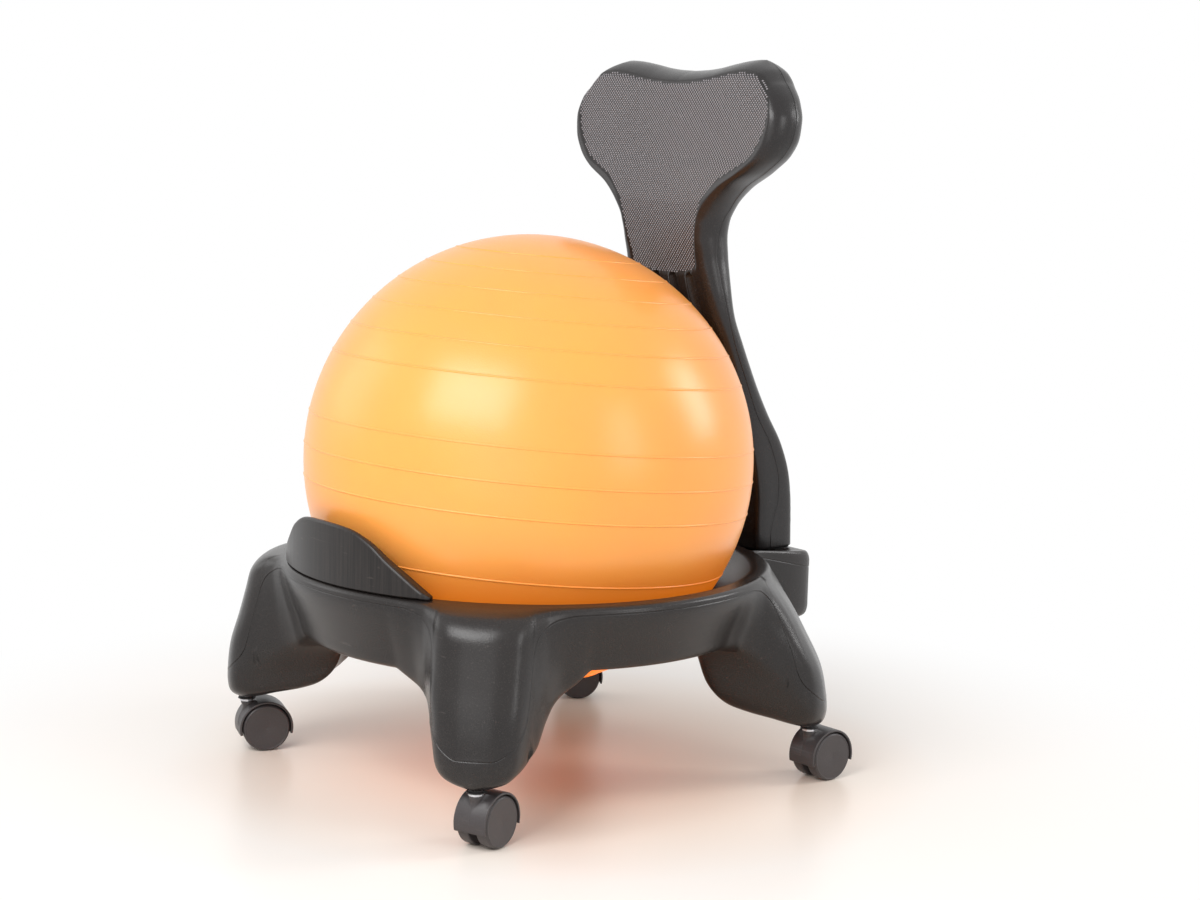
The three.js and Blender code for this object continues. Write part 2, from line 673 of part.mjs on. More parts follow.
// Its foot narrows at the tips: share of its half angle, share of its thickness.
const stopperFootShares = [
  [0, 1],
  [0.8, 1],
  [0.94, 0.85],
  [1, 0.5],
];
function stopperSection(theta) {
  const along = Math.abs(theta) / stopperHalfAngle;
  const rise = between(stopperTopShares, along);
  const half = (between(stopperFootShares, along) * stopperThickness) / 2;
  const height = rise * stopperHeight;
  const low = rimZ + seatGap;
  const high = low + height;
  const outer = stopperMiddleR + half;
  const inner = stopperMiddleR - half;
  const top = mix(inner, outer - Math.min(half, stopperTopThickness), rise);
  const bevel = Math.min(stopperBevel, height / 3, (outer - top) / 2);
  return [
    [inner, low],
    [stopperMiddleR, low],
    [outer - bevel / 2, low],
    [outer, low + bevel / 2],
    [outer, high - bevel],
    [outer - bevel / 4, high - bevel / 3],
    [outer - bevel, high],
    [top + bevel / 4, high],
    [mix(inner, top, 0.95), mix(low, high, 0.95)],
    [mix(inner, top, 0.5), mix(low, high, 0.5)],
  ];
}
function makeStopper() {
  const loops = [];
  for (let i = -stopperSteps; i <= stopperSteps; i++) {
    const theta = (i / stopperSteps) * stopperHalfAngle;
    loops.push(stopperSection(theta).map(([r, z]) => polar(theta, r, z)).toReversed());
  }
  let stopper = solid(skin(loops, true));
  for (const side of [-1, 1]) {
    const { x, y } = polar(side * stopperPegAngle, stopperMiddleR, 0);
    const low = rimZ - stopperPegLength + seatGap;
    stopper = stopper.add(solid(upright(stopperPegR, low, rimZ + cutOverrun, x, y)));
  }
  return geometryOf(stopper);
}
addMesh(assembly, "front_stopper", makeStopper(), stopperPlastic);

// Ball, hollow, with its valve hole on the side away from the front.
const ballPlace = new THREE.Group();
ballPlace.position.z = ballZ;
assembly.add(ballPlace);
function shell(radius) {
  return new THREE.SphereGeometry(radius, ballSides, ballSides / 2).rotateX(quarterTurn);
}
const valveDirection = new THREE.Vector3(-Math.cos(valveLatitude), 0, Math.sin(valveLatitude));
const valveTurn = new THREE.Quaternion().setFromUnitVectors(new THREE.Vector3(0, 0, 1), valveDirection);
function makeBall() {
  const hole = upright(valveHoleR + boreGap, ballR - cutOverrun * 2, ballR + cutOverrun);
  const tilt = (geometry) => geometry.rotateY(ballTiltSide).rotateX(-ballTiltBack);
  const air = solid(tilt(shell(ballR - ballWall)));
  const skinned = solid(tilt(shell(ballR))).subtract(air);
  return geometryOf(skinned.subtract(solid(hole.applyQuaternion(valveTurn))));
}
addMesh(ballPlace, "ball", makeBall(), inflated);

function makePlug() {
  const headZ = ballR + seatGap;
  const tip = [[0, headZ - valvePlugLength], [valveHoleR * 0.7, headZ - valvePlugLength]];
  const shank = [[valveHoleR, headZ - valvePlugLength * 0.7], [valveHoleR, headZ]];
  const topZ = headZ + valveHeadHeight;
  const head = [[valveHeadR, headZ], [valveHeadR * 0.9, topZ], [0, topZ]];
  return turned([...tip, ...shank, ...head], pinSides).applyQuaternion(valveTurn);
}
addMesh(ballPlace, "valve_plug", makePlug(), plugPlastic);

// Twin-wheel caster. Its own +X points from the stem to the wheels, its zero is on the floor.
const flangeZ = flangeTopZ - socketFlangeHeight;
const stemZ = flangeZ - seatGap;
const collarZ = stemZ - collarHeight;
const neckTopZ = collarZ - seatGap;

// Socket sleeve, pressed into the leg from below.
function makeSocket() {
  const inner = stemR + boreGap;
  const flange = [[inner, flangeZ], [socketFlangeR, flangeZ], [socketFlangeR, flangeTopZ]];
  const sleeve = [[socketR, flangeTopZ], [socketR, socketTopZ], [inner, socketTopZ], [inner, flangeZ]];
  return turned([...flange, ...sleeve], pinSides);
}

// Steel stem: spigot in the hood's neck, bright collar, and the pin that turns in the socket.
function makeStem() {
  const tipZ = stemZ + stemLength;
  const lowZ = neckTopZ - spigotLength + seatGap;
  const spigot = [[0, lowZ], [spigotR, lowZ], [spigotR, collarZ]];
  const collar = [[collarR, collarZ], [collarR, stemZ]];
  const pin = [[stemR, stemZ], [stemR, tipZ - stemTipR], [stemTipR, tipZ], [0, tipZ]];
  return turned([...spigot, ...collar, ...pin], pinSides);
}

// Hood: an arched mudguard over both wheels, the web between them, and the neck for the stem.
const hoodWidth = webWidth + 2 * (runGap + wheelWidth);
const hoodInnerR = hoodR - hoodWall;
function makeHood() {
  const lip = Math.asin(hoodLipDrop / hoodR);
  const guard = new THREE.Shape();
  guard.absarc(0, 0, hoodR, -lip, Math.PI + lip);
  guard.absarc(0, 0, hoodInnerR, Math.PI + lip, -lip, true);
  guard.closePath();
  const web = new THREE.Shape();
  web.absarc(0, 0, hoodR - hoodWall / 2, -lip, Math.PI + lip);
  web.lineTo(-neckR, -hoodR * 0.45);
  web.lineTo(neckR, -hoodR * 0.45);
  web.closePath();
  const upend = (shape, width, steps) =>
    plate(shape, -width / 2, width / 2, steps).rotateX(quarterTurn).translate(trail, 0, wheelR);
  const neckLow = neckTopZ - neckHeight;
  let hood = solid(upend(guard, hoodWidth, arcSteps)).add(solid(upend(web, webWidth, arcSteps)));
  hood = hood.add(solid(upright(neckR, neckLow, neckTopZ)));
  const wheelRoom = upright(wheelR + runGap, webWidth / 2, hoodWidth, 0, 0, wheelSides);
  for (const turn of [1, -1]) {
    const room = wheelRoom.clone().rotateX(turn * quarterTurn).translate(trail, 0, wheelR);
    hood = hood.subtract(solid(room));
  }
  const bore = upright(axleR + boreGap, -hoodWidth, hoodWidth).rotateX(quarterTurn);
  bore.translate(trail, 0, wheelR);
  const spigotHole = upright(spigotR + boreGap, neckTopZ - spigotLength, neckTopZ + cutOverrun);
  return geometryOf(hood.subtract(solid(bore)).subtract(solid(spigotHole)));
}

const wheelInnerY = webWidth / 2 + runGap;
const axleHalf = wheelInnerY + wheelWidth - wheelCapWall - seatGap;
function makeAxle() {
  return upright(axleR, -axleHalf, axleHalf).rotateX(quarterTurn).translate(trail, 0, wheelR);
}

// Wheel with a plain outer face, a rounded edge and a blind axle bore.
function makeWheel(side) {
  const outer = wheelInnerY + wheelWidth;
  const bore = axleR + boreGap;
  const boreEnd = axleHalf + seatGap;
  const corners = [
    [0, boreEnd], [bore, boreEnd], [bore, wheelInnerY],
    [wheelR, wheelInnerY], [wheelR, outer - wheelEdgeR], [wheelR - wheelEdgeR, outer],
    [0, outer],
  ];
  const wheel = turned(corners, wheelSides);
  return wheel.rotateX(-side * quarterTurn).translate(trail, 0, wheelR);
}

for (const { name, angle, out, heading } of casterPlaces) {
  const caster = new THREE.Group();
  caster.position.copy(polar(angle * degree, out, 0));
  caster.rotation.z = heading * degree;
  assembly.add(caster);
  addMesh(caster, `${name}_socket`, makeSocket(), casterPlastic);
  addMesh(caster, `${name}_stem`, makeStem(), zinc);
  addMesh(caster, `${name}_hood`, makeHood(), casterPlastic);
  addMesh(caster, `${name}_axle`, makeAxle(), zinc);
  addMesh(caster, `${name}_wheel_1`, makeWheel(1), casterPlastic);
  addMesh(caster, `${name}_wheel_2`, makeWheel(-1), casterPlastic);
}

// The origin is under the middle of the chair's box, between the rim's front and the boss's back.
assembly.position.y = (rimOuterR - bossRearY) / 2;

export default chair;
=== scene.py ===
# %% [markdown]
# # A balance ball chair
#
# An orange exercise ball rests in a moulded ring on four short legs. Each leg stands on a
# twin-wheel caster, a winged backrest is plugged into the back of the ring, and a crescent on
# the front rim keeps the ball in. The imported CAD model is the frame. It says where each piece
# is and what it moves with, and this notebook gives the pieces their finished surfaces.

# %% Load the frame
import math

import bmesh
import bpy
import numpy as np
from mathutils import Matrix, Vector


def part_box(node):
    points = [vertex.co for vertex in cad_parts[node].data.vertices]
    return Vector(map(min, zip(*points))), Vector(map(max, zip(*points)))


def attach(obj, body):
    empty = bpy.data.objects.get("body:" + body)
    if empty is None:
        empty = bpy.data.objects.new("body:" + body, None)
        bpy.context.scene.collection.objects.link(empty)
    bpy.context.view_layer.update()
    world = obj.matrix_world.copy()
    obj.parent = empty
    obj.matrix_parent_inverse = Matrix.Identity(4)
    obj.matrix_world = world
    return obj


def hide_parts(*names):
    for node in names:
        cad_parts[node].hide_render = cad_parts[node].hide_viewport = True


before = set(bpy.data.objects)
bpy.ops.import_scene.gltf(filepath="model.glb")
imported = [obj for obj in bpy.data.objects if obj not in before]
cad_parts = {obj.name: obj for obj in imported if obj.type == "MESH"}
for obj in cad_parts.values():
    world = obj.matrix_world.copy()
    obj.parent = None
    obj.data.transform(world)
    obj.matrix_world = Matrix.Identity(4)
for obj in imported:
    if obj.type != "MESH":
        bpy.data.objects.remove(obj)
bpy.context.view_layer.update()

# %% [markdown]
# Shapes are worked out in millimetres round the ring's axis, as a drawing of the chair would
# be, and turned into metres when a mesh is made. The ring's axis is not the origin, because
# the origin is the middle of the whole chair. Its place comes from the back of the base.

# %% Units and the ring's axis
MM = 0.001
RIM_R = 284.0  # the rim's outside
BOSS_REACH = 90.0  # how far the rear socket stands out from the rim
base_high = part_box("base_frame")[1]
AXIS_Y = base_high.y / MM - BOSS_REACH - RIM_R
print("the ring's axis is at y =", round(AXIS_Y, 2), "mm")


def in_metres(points):
    """Points in millimetres round the ring's axis, as metres in the frame."""
    return (np.asarray(points, float) + [0.0, AXIS_Y, 0.0]) * MM


# %% [markdown]
# ## Camera
#
# A camera can be matched by hand, or from things of known size. Here the ball's outline and
# the casters fixed it: a long lens, a little above the seat, off the chair's front right.

# %% Camera
FOCAL = 70.14  # millimetres on a 36 mm sensor
CAMERA_PLACE = (2.1512, -1.6467, 0.758)
HEADING, PITCH, ROLL = (math.radians(v) for v in (51.582, 8.115, 1.384))

forward = Vector((
    -math.sin(HEADING) * math.cos(PITCH),
    math.cos(HEADING) * math.cos(PITCH),
    -math.sin(PITCH),
))
level = Vector((math.cos(HEADING), math.sin(HEADING), 0.0))
over = level.cross(forward)
right = level * math.cos(ROLL) + over * math.sin(ROLL)
up = over * math.cos(ROLL) - level * math.sin(ROLL)

lens = bpy.data.cameras.new("camera")
lens.lens = FOCAL
lens.sensor_width = 36.0
camera = bpy.data.objects.new("camera", lens)
turn = Matrix((right, up, -forward)).transposed().to_4x4()
camera.matrix_world = Matrix.Translation(CAMERA_PLACE) @ turn
scene = bpy.context.scene
scene.collection.objects.link(camera)
scene.camera = camera
print("camera looks along", [round(v, 3) for v in forward])

# %% [markdown]
# ## Helpers for surfaces
#
# Most pieces here are sheets of points in rows: sections round the ring, rows up the backrest,
# rings of the ball. One function turns such rows into a mesh. A second draws a smooth curve
# through a few chosen values without overshooting them, so a short table shapes a long curve.

# %% Rows of points into a mesh


def mesh_of(name, verts, faces, material=None):
    mesh = bpy.data.meshes.new(name)
    mesh.from_pydata([tuple(v) for v in verts], [], [tuple(f) for f in faces])
    if material:
        mesh.materials.append(material)
    mesh.shade_smooth()
    obj = bpy.data.objects.new(name, mesh)
    scene.collection.objects.link(obj)
    return obj


def sheet_faces(rows, columns, rows_close=False):
    """Quads between rows whose columns close on themselves."""
    index = np.arange(rows * columns).reshape(rows, columns)
    here = index if rows_close else index[:-1]
    ahead = np.roll(index, -1, axis=0) if rows_close else index[1:]
    beside = np.roll(here, -1, axis=1)
    beyond = np.roll(ahead, -1, axis=1)
    return np.stack([here, beside, beyond, ahead], axis=-1).reshape(-1, 4)


def lidded(rows, columns):
    """The quads of a tube of rows, with a lid on each end."""
    last = (rows - 1) * columns
    faces = [tuple(f) for f in sheet_faces(rows, columns)]
    return faces + [tuple(reversed(range(columns))), tuple(range(last, last + columns))]


def tidy(obj, gap=1e-6):
    """Merges doubles and makes every face look outwards."""
    work = bmesh.new()
    work.from_mesh(obj.data)
    bmesh.ops.remove_doubles(work, verts=work.verts, dist=gap)
    bmesh.ops.dissolve_degenerate(work, edges=work.edges, dist=gap)
    bmesh.ops.recalc_face_normals(work, faces=work.faces)
    work.to_mesh(obj.data)
    work.free()
    return obj


# %% Smooth curves through a few values


def smooth(t):
    t = np.clip(t, 0.0, 1.0)
    return t * t * (3.0 - 2.0 * t)


def mix(a, b, t):
    return a + (b - a) * t


def flow(table, at, column=1):
    """The value at a place, on a curve through the table that never overshoots."""
    table = np.asarray(table, float)
    xs, ys = table[:, 0], table[:, column]
    step = np.diff(xs)
    slope = np.diff(ys) / step
    product = slope[:-1] * slope[1:]
    total = np.where(product > 0, slope[:-1] + slope[1:], 1.0)
    inner = np.where(product > 0, 2.0 * product / total, 0.0)
    tangent = np.concatenate([slope[:1], inner, slope[-1:]])
    at = np.clip(at, xs[0], xs[-1])
    i = np.clip(np.searchsorted(xs, at) - 1, 0, len(xs) - 2)
    t = (at - xs[i]) / step[i]
    start, end = ys[i], ys[i + 1]
    lead, trail = tangent[i] * step[i], tangent[i + 1] * step[i]
    bend = 2.0 * start - 2.0 * end + lead + trail
    ease = 3.0 * end - 3.0 * start - 2.0 * lead - trail
    return ((bend * t + ease) * t + lead) * t + start


def rounded(loops, per_span):
    """Closed loops of corners, shape (loops, corners, 2), as smooth closed curves."""
    before = np.roll(loops, 1, axis=1)
    after = np.roll(loops, -1, axis=1)
    beyond = np.roll(loops, -2, axis=1)

    def knot(a, b):
        return np.sqrt(np.linalg.norm(b - a, axis=2, keepdims=True)) + 1e-9

    k1 = knot(before, loops)
    k2 = k1 + knot(loops, after)
    k3 = k2 + knot(after, beyond)
    parts = []
    for i in range(per_span):
        t = k1 + (k2 - k1) * i / per_span
        a1 = before * (k1 - t) / k1 + loops * t / k1
        a2 = loops * (k2 - t) / (k2 - k1) + after * (t - k1) / (k2 - k1)
        a3 = after * (k3 - t) / (k3 - k2) + beyond * (t - k2) / (k3 - k2)
        b1 = a1 * (k2 - t) / k2 + a2 * t / k2
        b2 = a2 * (k3 - t) / (k3 - k1) + a3 * (t - k1) / (k3 - k1)
        parts.append(b1 * (k2 - t) / (k2 - k1) + b2 * (t - k1) / (k2 - k1))
    stacked = np.stack(parts, axis=2)
    return stacked.reshape(loops.shape[0], -1, 2)


def along(curve):
    """Distance run along a polyline, from zero at its first point."""
    steps = np.linalg.norm(np.diff(curve, axis=0), axis=1)
    return np.concatenate([[0.0], np.cumsum(steps)])


def sheet_normals(grid, rows_close):
    """Unit normals of a sheet of rows whose columns close on themselves."""
    across = np.roll(grid, -1, axis=1) - np.roll(grid, 1, axis=1)
    if rows_close:
        onward = np.roll(grid, -1, axis=0) - np.roll(grid, 1, axis=0)
    else:
        onward = np.gradient(grid, axis=0)
    normal = np.cross(across, onward)
    return normal / (np.linalg.norm(normal, axis=2, keepdims=True) + 1e-12)


# %% [markdown]
# Holes, slots and recesses are easiest to cut after the skin is made. A Boolean modifier takes
# one closed cutter away from the piece, and its result is kept as a plain mesh.

# %% Cutting and joining


def baked(obj):
    """The object's shape with its modifiers applied, as its own plain mesh."""
    depsgraph = bpy.context.evaluated_depsgraph_get()
    mesh = bpy.data.meshes.new_from_object(obj.evaluated_get(depsgraph))
    obj.modifiers.clear()
    old, obj.data = obj.data, mesh
    mesh.name = old.name
    bpy.data.meshes.remove(old)
    return obj


def combine(obj, tools, operation="DIFFERENCE"):
    """Cuts the tools out of the piece, or joins them to it, and removes them."""
    for tool in tools:
        modifier = obj.modifiers.new(operation.lower(), "BOOLEAN")
        modifier.operation = operation
        modifier.solver = "EXACT"
        modifier.object = tool
    bpy.context.view_layer.update()
    baked(obj)
    for tool in tools:
        bpy.data.objects.remove(tool)
    return obj


def slab(outline, low, high):
    """An upright prism of a flat outline in millimetres round the ring's axis."""
    outline = np.asarray(outline, float)
    count = len(outline)
    bottom = np.column_stack([outline, np.full(count, low)])
    top = np.column_stack([outline, np.full(count, high)])
    return tidy(mesh_of("slab", in_metres(np.vstack([bottom, top])), lidded(2, count)))


def bar(radius, low, high, x=0.0, y=0.0, sides=48):
    """An upright round bar in millimetres round the ring's axis."""
    angles = np.linspace(0, 2 * math.pi, sides, endpoint=False)
    ring = np.stack([x + radius * np.cos(angles), y + radius * np.sin(angles)], axis=1)
    return slab(ring, low, high)


def moved(obj, place):
    """A slab or bar taken off the ring's axis to the origin, and from there to its place."""
    obj.data.transform(Matrix.Translation((0, -AXIS_Y * MM, 0)))
    obj.data.transform(place)
    return obj


def round_ring(theta, r, z):
    """Points from sections of (radius, height) at angles round the ring."""
    return np.stack([r * np.sin(theta)[:, None], -r * np.cos(theta)[:, None], z], axis=-1)


def rounded_box(half_x, half_y, radius, x=0.0, y=0.0, steps=8):
    """The outline of a rectangle with round corners."""
    points = []
    for corner, (sx, sy) in enumerate(((1, 1), (-1, 1), (-1, -1), (1, -1))):
        for i in range(steps + 1):
            angle = (corner + i / steps) * math.pi / 2
            px = sx * (half_x - radius) + radius * math.cos(angle)
            py = sy * (half_y - radius) + radius * math.sin(angle)
            points.append((x + px, y + py))
    return points


# %% [markdown]
# ## Finishes
#
# The base, the backrest and the hoods are moulded in black polyethylene with a fine grain in
# the mould's wall. The grain catches the light as a fine speckle, and a black part that has
# been handled carries dust and hairline scratches. A group of nodes makes each effect once,
# and each material places it with its own values.

# %% Small helpers for nodes


def linear(red, green, blue):
    """A colour written from 0 to 255, as the renderer's linear values."""
    def channel(value):
        value /= 255.0
        if value <= 0.04045:
            return value / 12.92
        return ((value + 0.055) / 1.055) ** 2.4

    return (channel(red), channel(green), channel(blue), 1.0)


def node(tree, kind, **values):
    """A node with its settings and inputs by name. An input may be another node's output."""
    made = tree.nodes.new(kind)
    for name, value in values.items():
        if hasattr(made, name):
            setattr(made, name, value)
        elif isinstance(value, bpy.types.NodeSocket):
            tree.links.new(value, made.inputs[name.replace("_", " ")])
        else:
            made.inputs[name.replace("_", " ")].default_value = value
    return made


def maths(tree, operation, first, second, third=0.0):
    """A Math node's result; each side is a number or another node's output."""
    made = node(tree, "ShaderNodeMath", operation=operation)
    for socket, value in zip(made.inputs, (first, second, third)):
        if isinstance(value, bpy.types.NodeSocket):
            tree.links.new(value, socket)
        else:
            socket.default_value = value
    return made.outputs[0]


def new_finish(name):
    """A material, its tree, its surface and the object's own coordinates."""
    material = bpy.data.materials.new(name)
    material.use_nodes = True
    tree = material.node_tree
    place = node(tree, "ShaderNodeTexCoord").outputs["Object"]
    return material, tree, tree.nodes["Principled BSDF"], place


def coat(tree, surface, values):
    """Sets the surface's inputs, each to a value or to another node's output."""
    for name, value in values.items():
        if isinstance(value, bpy.types.NodeSocket):
            tree.links.new(value, surface.inputs[name])
        else:
            surface.inputs[name].default_value = value


def shader_group(name, inputs, outputs):
    """An empty node group with sockets, and its two end nodes."""
    group = bpy.data.node_groups.new(name, "ShaderNodeTree")
    for label, kind, default in inputs:
        socket = group.interface.new_socket(label, in_out="INPUT", socket_type=kind)
        if default is not None:
            socket.default_value = default
    for label, kind in outputs:
        group.interface.new_socket(label, in_out="OUTPUT", socket_type=kind)
    start = group.nodes.new("NodeGroupInput")
    end = group.nodes.new("NodeGroupOutput")
    return group, start, end


# %% Mould grain: fine pebbles, and the speckle that they make
def make_grain_group():
    group, start, end = shader_group(
        "mould_grain",
        [("Vector", "NodeSocketVector", None), ("Grain size", "NodeSocketFloat", 0.001)],
        [("Height", "NodeSocketFloat"), ("Speckle", "NodeSocketFloat")],
    )
    vector = start.outputs["Vector"]
    per_metre = maths(group, "DIVIDE", 1.0, start.outputs["Grain size"])
    pebbles = node(
        group, "ShaderNodeTexVoronoi", feature="SMOOTH_F1", Vector=vector, Scale=per_metre)
    speckle = node(
        group, "ShaderNodeTexNoise", Detail=3.0, Roughness=0.7, Vector=vector, Scale=per_metre)
    sharp = node(
        group, "ShaderNodeMapRange", From_Min=0.56, From_Max=0.72, Value=speckle.outputs[0])
    group.links.new(pebbles.outputs["Distance"], end.inputs["Height"])
    group.links.new(sharp.outputs[0], end.inputs["Speckle"])
    return group


grain_group = make_grain_group()
print("group", grain_group.name, "has", len(grain_group.nodes), "nodes")


# %% Handling marks: hairline scratches in all directions, and soft patches of dust
def make_marks_group():
    group, start, end = shader_group(
        "handling_marks",
        [("Vector", "NodeSocketVector", None), ("Amount", "NodeSocketFloat", 0.3)],
        [("Scratches", "NodeSocketFloat"), ("Dust", "NodeSocketFloat")],
    )
    vector, amount = start.outputs["Vector"], start.outputs["Amount"]
    lines = []
    for turn in ((0.4, 0.2, 0.9), (1.3, 2.1, 0.3)):
        mapping = node(
            group, "ShaderNodeMapping", Rotation=turn, Scale=(9.0, 260.0, 260.0), Vector=vector)
        streak = node(
            group, "ShaderNodeTexNoise", Scale=1.0, Detail=1.0, Vector=mapping.outputs[0])
        thin = node(
            group, "ShaderNodeMapRange", From_Min=0.72, From_Max=0.8, Value=streak.outputs[0])
        lines.append(thin.outputs[0])
    cloud = node(group, "ShaderNodeTexNoise", Scale=7.0, Detail=4.0, Vector=vector)
    scratches = maths(group, "MULTIPLY", maths(group, "MAXIMUM", *lines), amount)
    dust = maths(group, "MULTIPLY", cloud.outputs[0], amount)
    group.links.new(scratches, end.inputs["Scratches"])
    group.links.new(dust, end.inputs["Dust"])
    return group


marks_group = make_marks_group()
print("group", marks_group.name, "has", len(marks_group.nodes), "nodes")


# %% Moulded plastic in its several colours and glosses
SPECKLE_SHARE, DUST_ROUGHNESS, PLASTIC_SPECULAR = 0.35, 0.2, 0.42


def plastic(name, colour, light, roughness, grain, bump, marks):
    """Moulded plastic: grain bump, speckle and dust towards a lighter colour."""
    material, tree, surface, place = new_finish(name)
    pebble = node(
        tree, "ShaderNodeGroup", node_tree=grain_group, Grain_size=grain, Vector=place)
    wear = node(tree, "ShaderNodeGroup", node_tree=marks_group, Amount=marks, Vector=place)
    spread = maths(tree, "ADD", wear.outputs["Scratches"], wear.outputs["Dust"])
    total = maths(tree, "MULTIPLY_ADD", pebble.outputs["Speckle"], SPECKLE_SHARE, spread)
    speck = node(
        tree, "ShaderNodeMix", data_type="RGBA", A=linear(*colour), B=linear(*light),
        Factor=total)
    gloss = node(
        tree, "ShaderNodeMapRange", To_Min=roughness, To_Max=roughness + DUST_ROUGHNESS,
        Value=wear.outputs["Dust"])
    relief = node(
        tree, "ShaderNodeBump", Strength=bump, Distance=0.0004, Height=pebble.outputs["Height"])
    coat(tree, surface, {
        "Base Color": speck.outputs["Result"],
        "Roughness": gloss.outputs[0],
        "Specular IOR Level": PLASTIC_SPECULAR,
        "Normal": relief.outputs[0],
    })
    return material


base_finish = plastic(
    "moulded_base", (13, 9, 9), (84, 78, 75), 0.24, 0.0011, 0.3, 0.2)
back_finish = plastic(
    "moulded_back", (18, 15, 16), (86, 82, 81), 0.24, 0.0009, 0.22, 0.16)
caster_finish = plastic(
    "caster_plastic", (56, 52, 53), (108, 102, 102), 0.38, 0.0008, 0.25, 0.18)
socket_finish = plastic(
    "socket_plastic", (28, 26, 27), (70, 68, 68), 0.5, 0.0008, 0.2, 0.15)
print("plastics:", base_finish.name, back_finish.name, caster_finish.name, socket_finish.name)


# %% [markdown]
# The stopper is a glossier plastic than the base. Its face was brushed clean of flash, which
# left fine upright strokes. They are a noise squeezed to thin columns, used for both colour
# and gloss.

# %% Brushed plastic of the stopper
def make_stopper_finish():
    material, tree, surface, place = new_finish("stopper_plastic")
    columns = node(tree, "ShaderNodeMapping", Scale=(420.0, 420.0, 9.0), Vector=place)
    strokes = node(
        tree, "ShaderNodeTexNoise", Scale=1.0, Detail=3.0, Roughness=0.6,
        Vector=columns.outputs[0]).outputs[0]
    wear = node(tree, "ShaderNodeGroup", node_tree=marks_group, Amount=0.35, Vector=place)
    streaky = node(
        tree, "ShaderNodeMapRange", From_Min=0.35, From_Max=0.75, To_Max=0.32, Value=strokes)
    total = maths(tree, "ADD", streaky.outputs[0], wear.outputs["Scratches"])
    colour = node(
        tree, "ShaderNodeMix", data_type="RGBA", A=linear(13, 8, 7), B=linear(70, 62, 58),
        Factor=total)
    gloss = node(tree, "ShaderNodeMapRange", To_Min=0.24, To_Max=0.44, Value=strokes)
    relief = node(tree, "ShaderNodeBump", Strength=0.12, Distance=0.0003, Height=strokes)
    coat(tree, surface, {
        "Base Color": colour.outputs["Result"],
        "Roughness": gloss.outputs[0],
        "Specular IOR Level": PLASTIC_SPECULAR,
        "Normal": relief.outputs[0],
    })
    return material


stopper_finish = make_stopper_finish()
print("made", stopper_finish.name)

# %% [markdown]
# The ball is thick, stretched vinyl. Light sinks in a little and comes out again warmer, so
# it looks pale on top and deep orange low down, where it is lit through the skin. A fine
# pebble breaks the highlights into sparkle. Subsurface scattering alone is slow and noisy for
# a thin skin, so the slow change of colour with height is in the base colour, a little
# scattering softens the shade, and a faint glow low down is the light from inside the ball.

# %% Vinyl of the ball
ball_low, ball_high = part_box("ball")
BALL_TOP, BALL_BOTTOM = ball_high.z, ball_low.z


def make_ball_finish():
    material, tree, surface, place = new_finish("ball_vinyl")
    split = node(tree, "ShaderNodeSeparateXYZ", Vector=place)
    height = node(
        tree, "ShaderNodeMapRange", From_Min=BALL_BOTTOM, From_Max=BALL_TOP,
        Value=split.outputs["Z"]).outputs[0]
    # Painted light: the base colour is deep orange low down and pale higher up, standing for
    # light that comes through the skin.
    painted_light_ramp = node(tree, "ShaderNodeValToRGB", Fac=height)
    foot, skin = painted_light_ramp.color_ramp.elements
    foot.color, foot.position = linear(255, 124, 2), 0.17
    skin.color, skin.position = linear(255, 166, 80), 0.36
    cloud = node(tree, "ShaderNodeTexNoise", Scale=9.0, Detail=3.0, Vector=place)
    faint = node(
        tree, "ShaderNodeMix", data_type="RGBA", blend_type="SOFT_LIGHT", Factor=0.12,
        A=painted_light_ramp.outputs["Color"], B=cloud.outputs["Color"])
    through = node(
        # Painted glow: emission low down, seen only by the camera, stands for light from inside
        # the ball.
        tree, "ShaderNodeMapRange", interpolation_type="SMOOTHSTEP", From_Min=0.12,
        From_Max=0.36, To_Min=0.85, To_Max=0.0, Value=height)
    path = tree.nodes.new("ShaderNodeLightPath")
    glow = maths(tree, "MULTIPLY", through.outputs[0], path.outputs["Is Camera Ray"])
    pebble = node(
        tree, "ShaderNodeGroup", node_tree=grain_group, Grain_size=0.0013, Vector=place)
    relief = node(
        tree, "ShaderNodeBump", Strength=0.3, Distance=0.0003, Height=pebble.outputs["Height"])
    coat(tree, surface, {
        "Base Color": faint.outputs["Result"],
        "Emission Color": linear(255, 124, 0),
        "Emission Strength": glow,
        "Roughness": 0.28,
        "Subsurface Weight": 0.08,
        "Subsurface Radius": (0.02, 0.008, 0.002),
        "Subsurface Scale": 1.0,
        "Normal": relief.outputs[0],
    })
    return material


ball_finish = make_ball_finish()
print("ball runs from", round(BALL_BOTTOM, 3), "to", round(BALL_TOP, 3), "m")

# %% [markdown]
# The small metal pieces are bright zinc on steel and turned brass. Zinc plate clouds a little
# as it ages, so its gloss and tone drift slowly over the surface.

# %% Metals and the valve plug


def metal(name, colour, dull, roughness):
    material, tree, surface, place = new_finish(name)
    cloud = node(tree, "ShaderNodeTexNoise", Scale=160.0, Detail=4.0, Vector=place).outputs[0]
    tone = node(
        tree, "ShaderNodeMix", data_type="RGBA", A=linear(*colour), B=linear(*dull),
        Factor=cloud)
    gloss = node(
        tree, "ShaderNodeMapRange", To_Min=roughness, To_Max=roughness + 0.2, Value=cloud)
    coat(tree, surface, {
        "Base Color": tone.outputs["Result"], "Metallic": 1.0, "Roughness": gloss.outputs[0],
    })
    return material


zinc_finish = metal("zinc_plate", (226, 226, 228), (172, 174, 180), 0.18)
brass_finish = metal("turned_brass", (206, 170, 96), (150, 118, 62), 0.25)
plug_finish = plastic(
    "plug_plastic", (228, 220, 204), (190, 180, 164), 0.4, 0.0006, 0.1, 0.2)
print("made", zinc_finish.name, brass_finish.name, plug_finish.name)

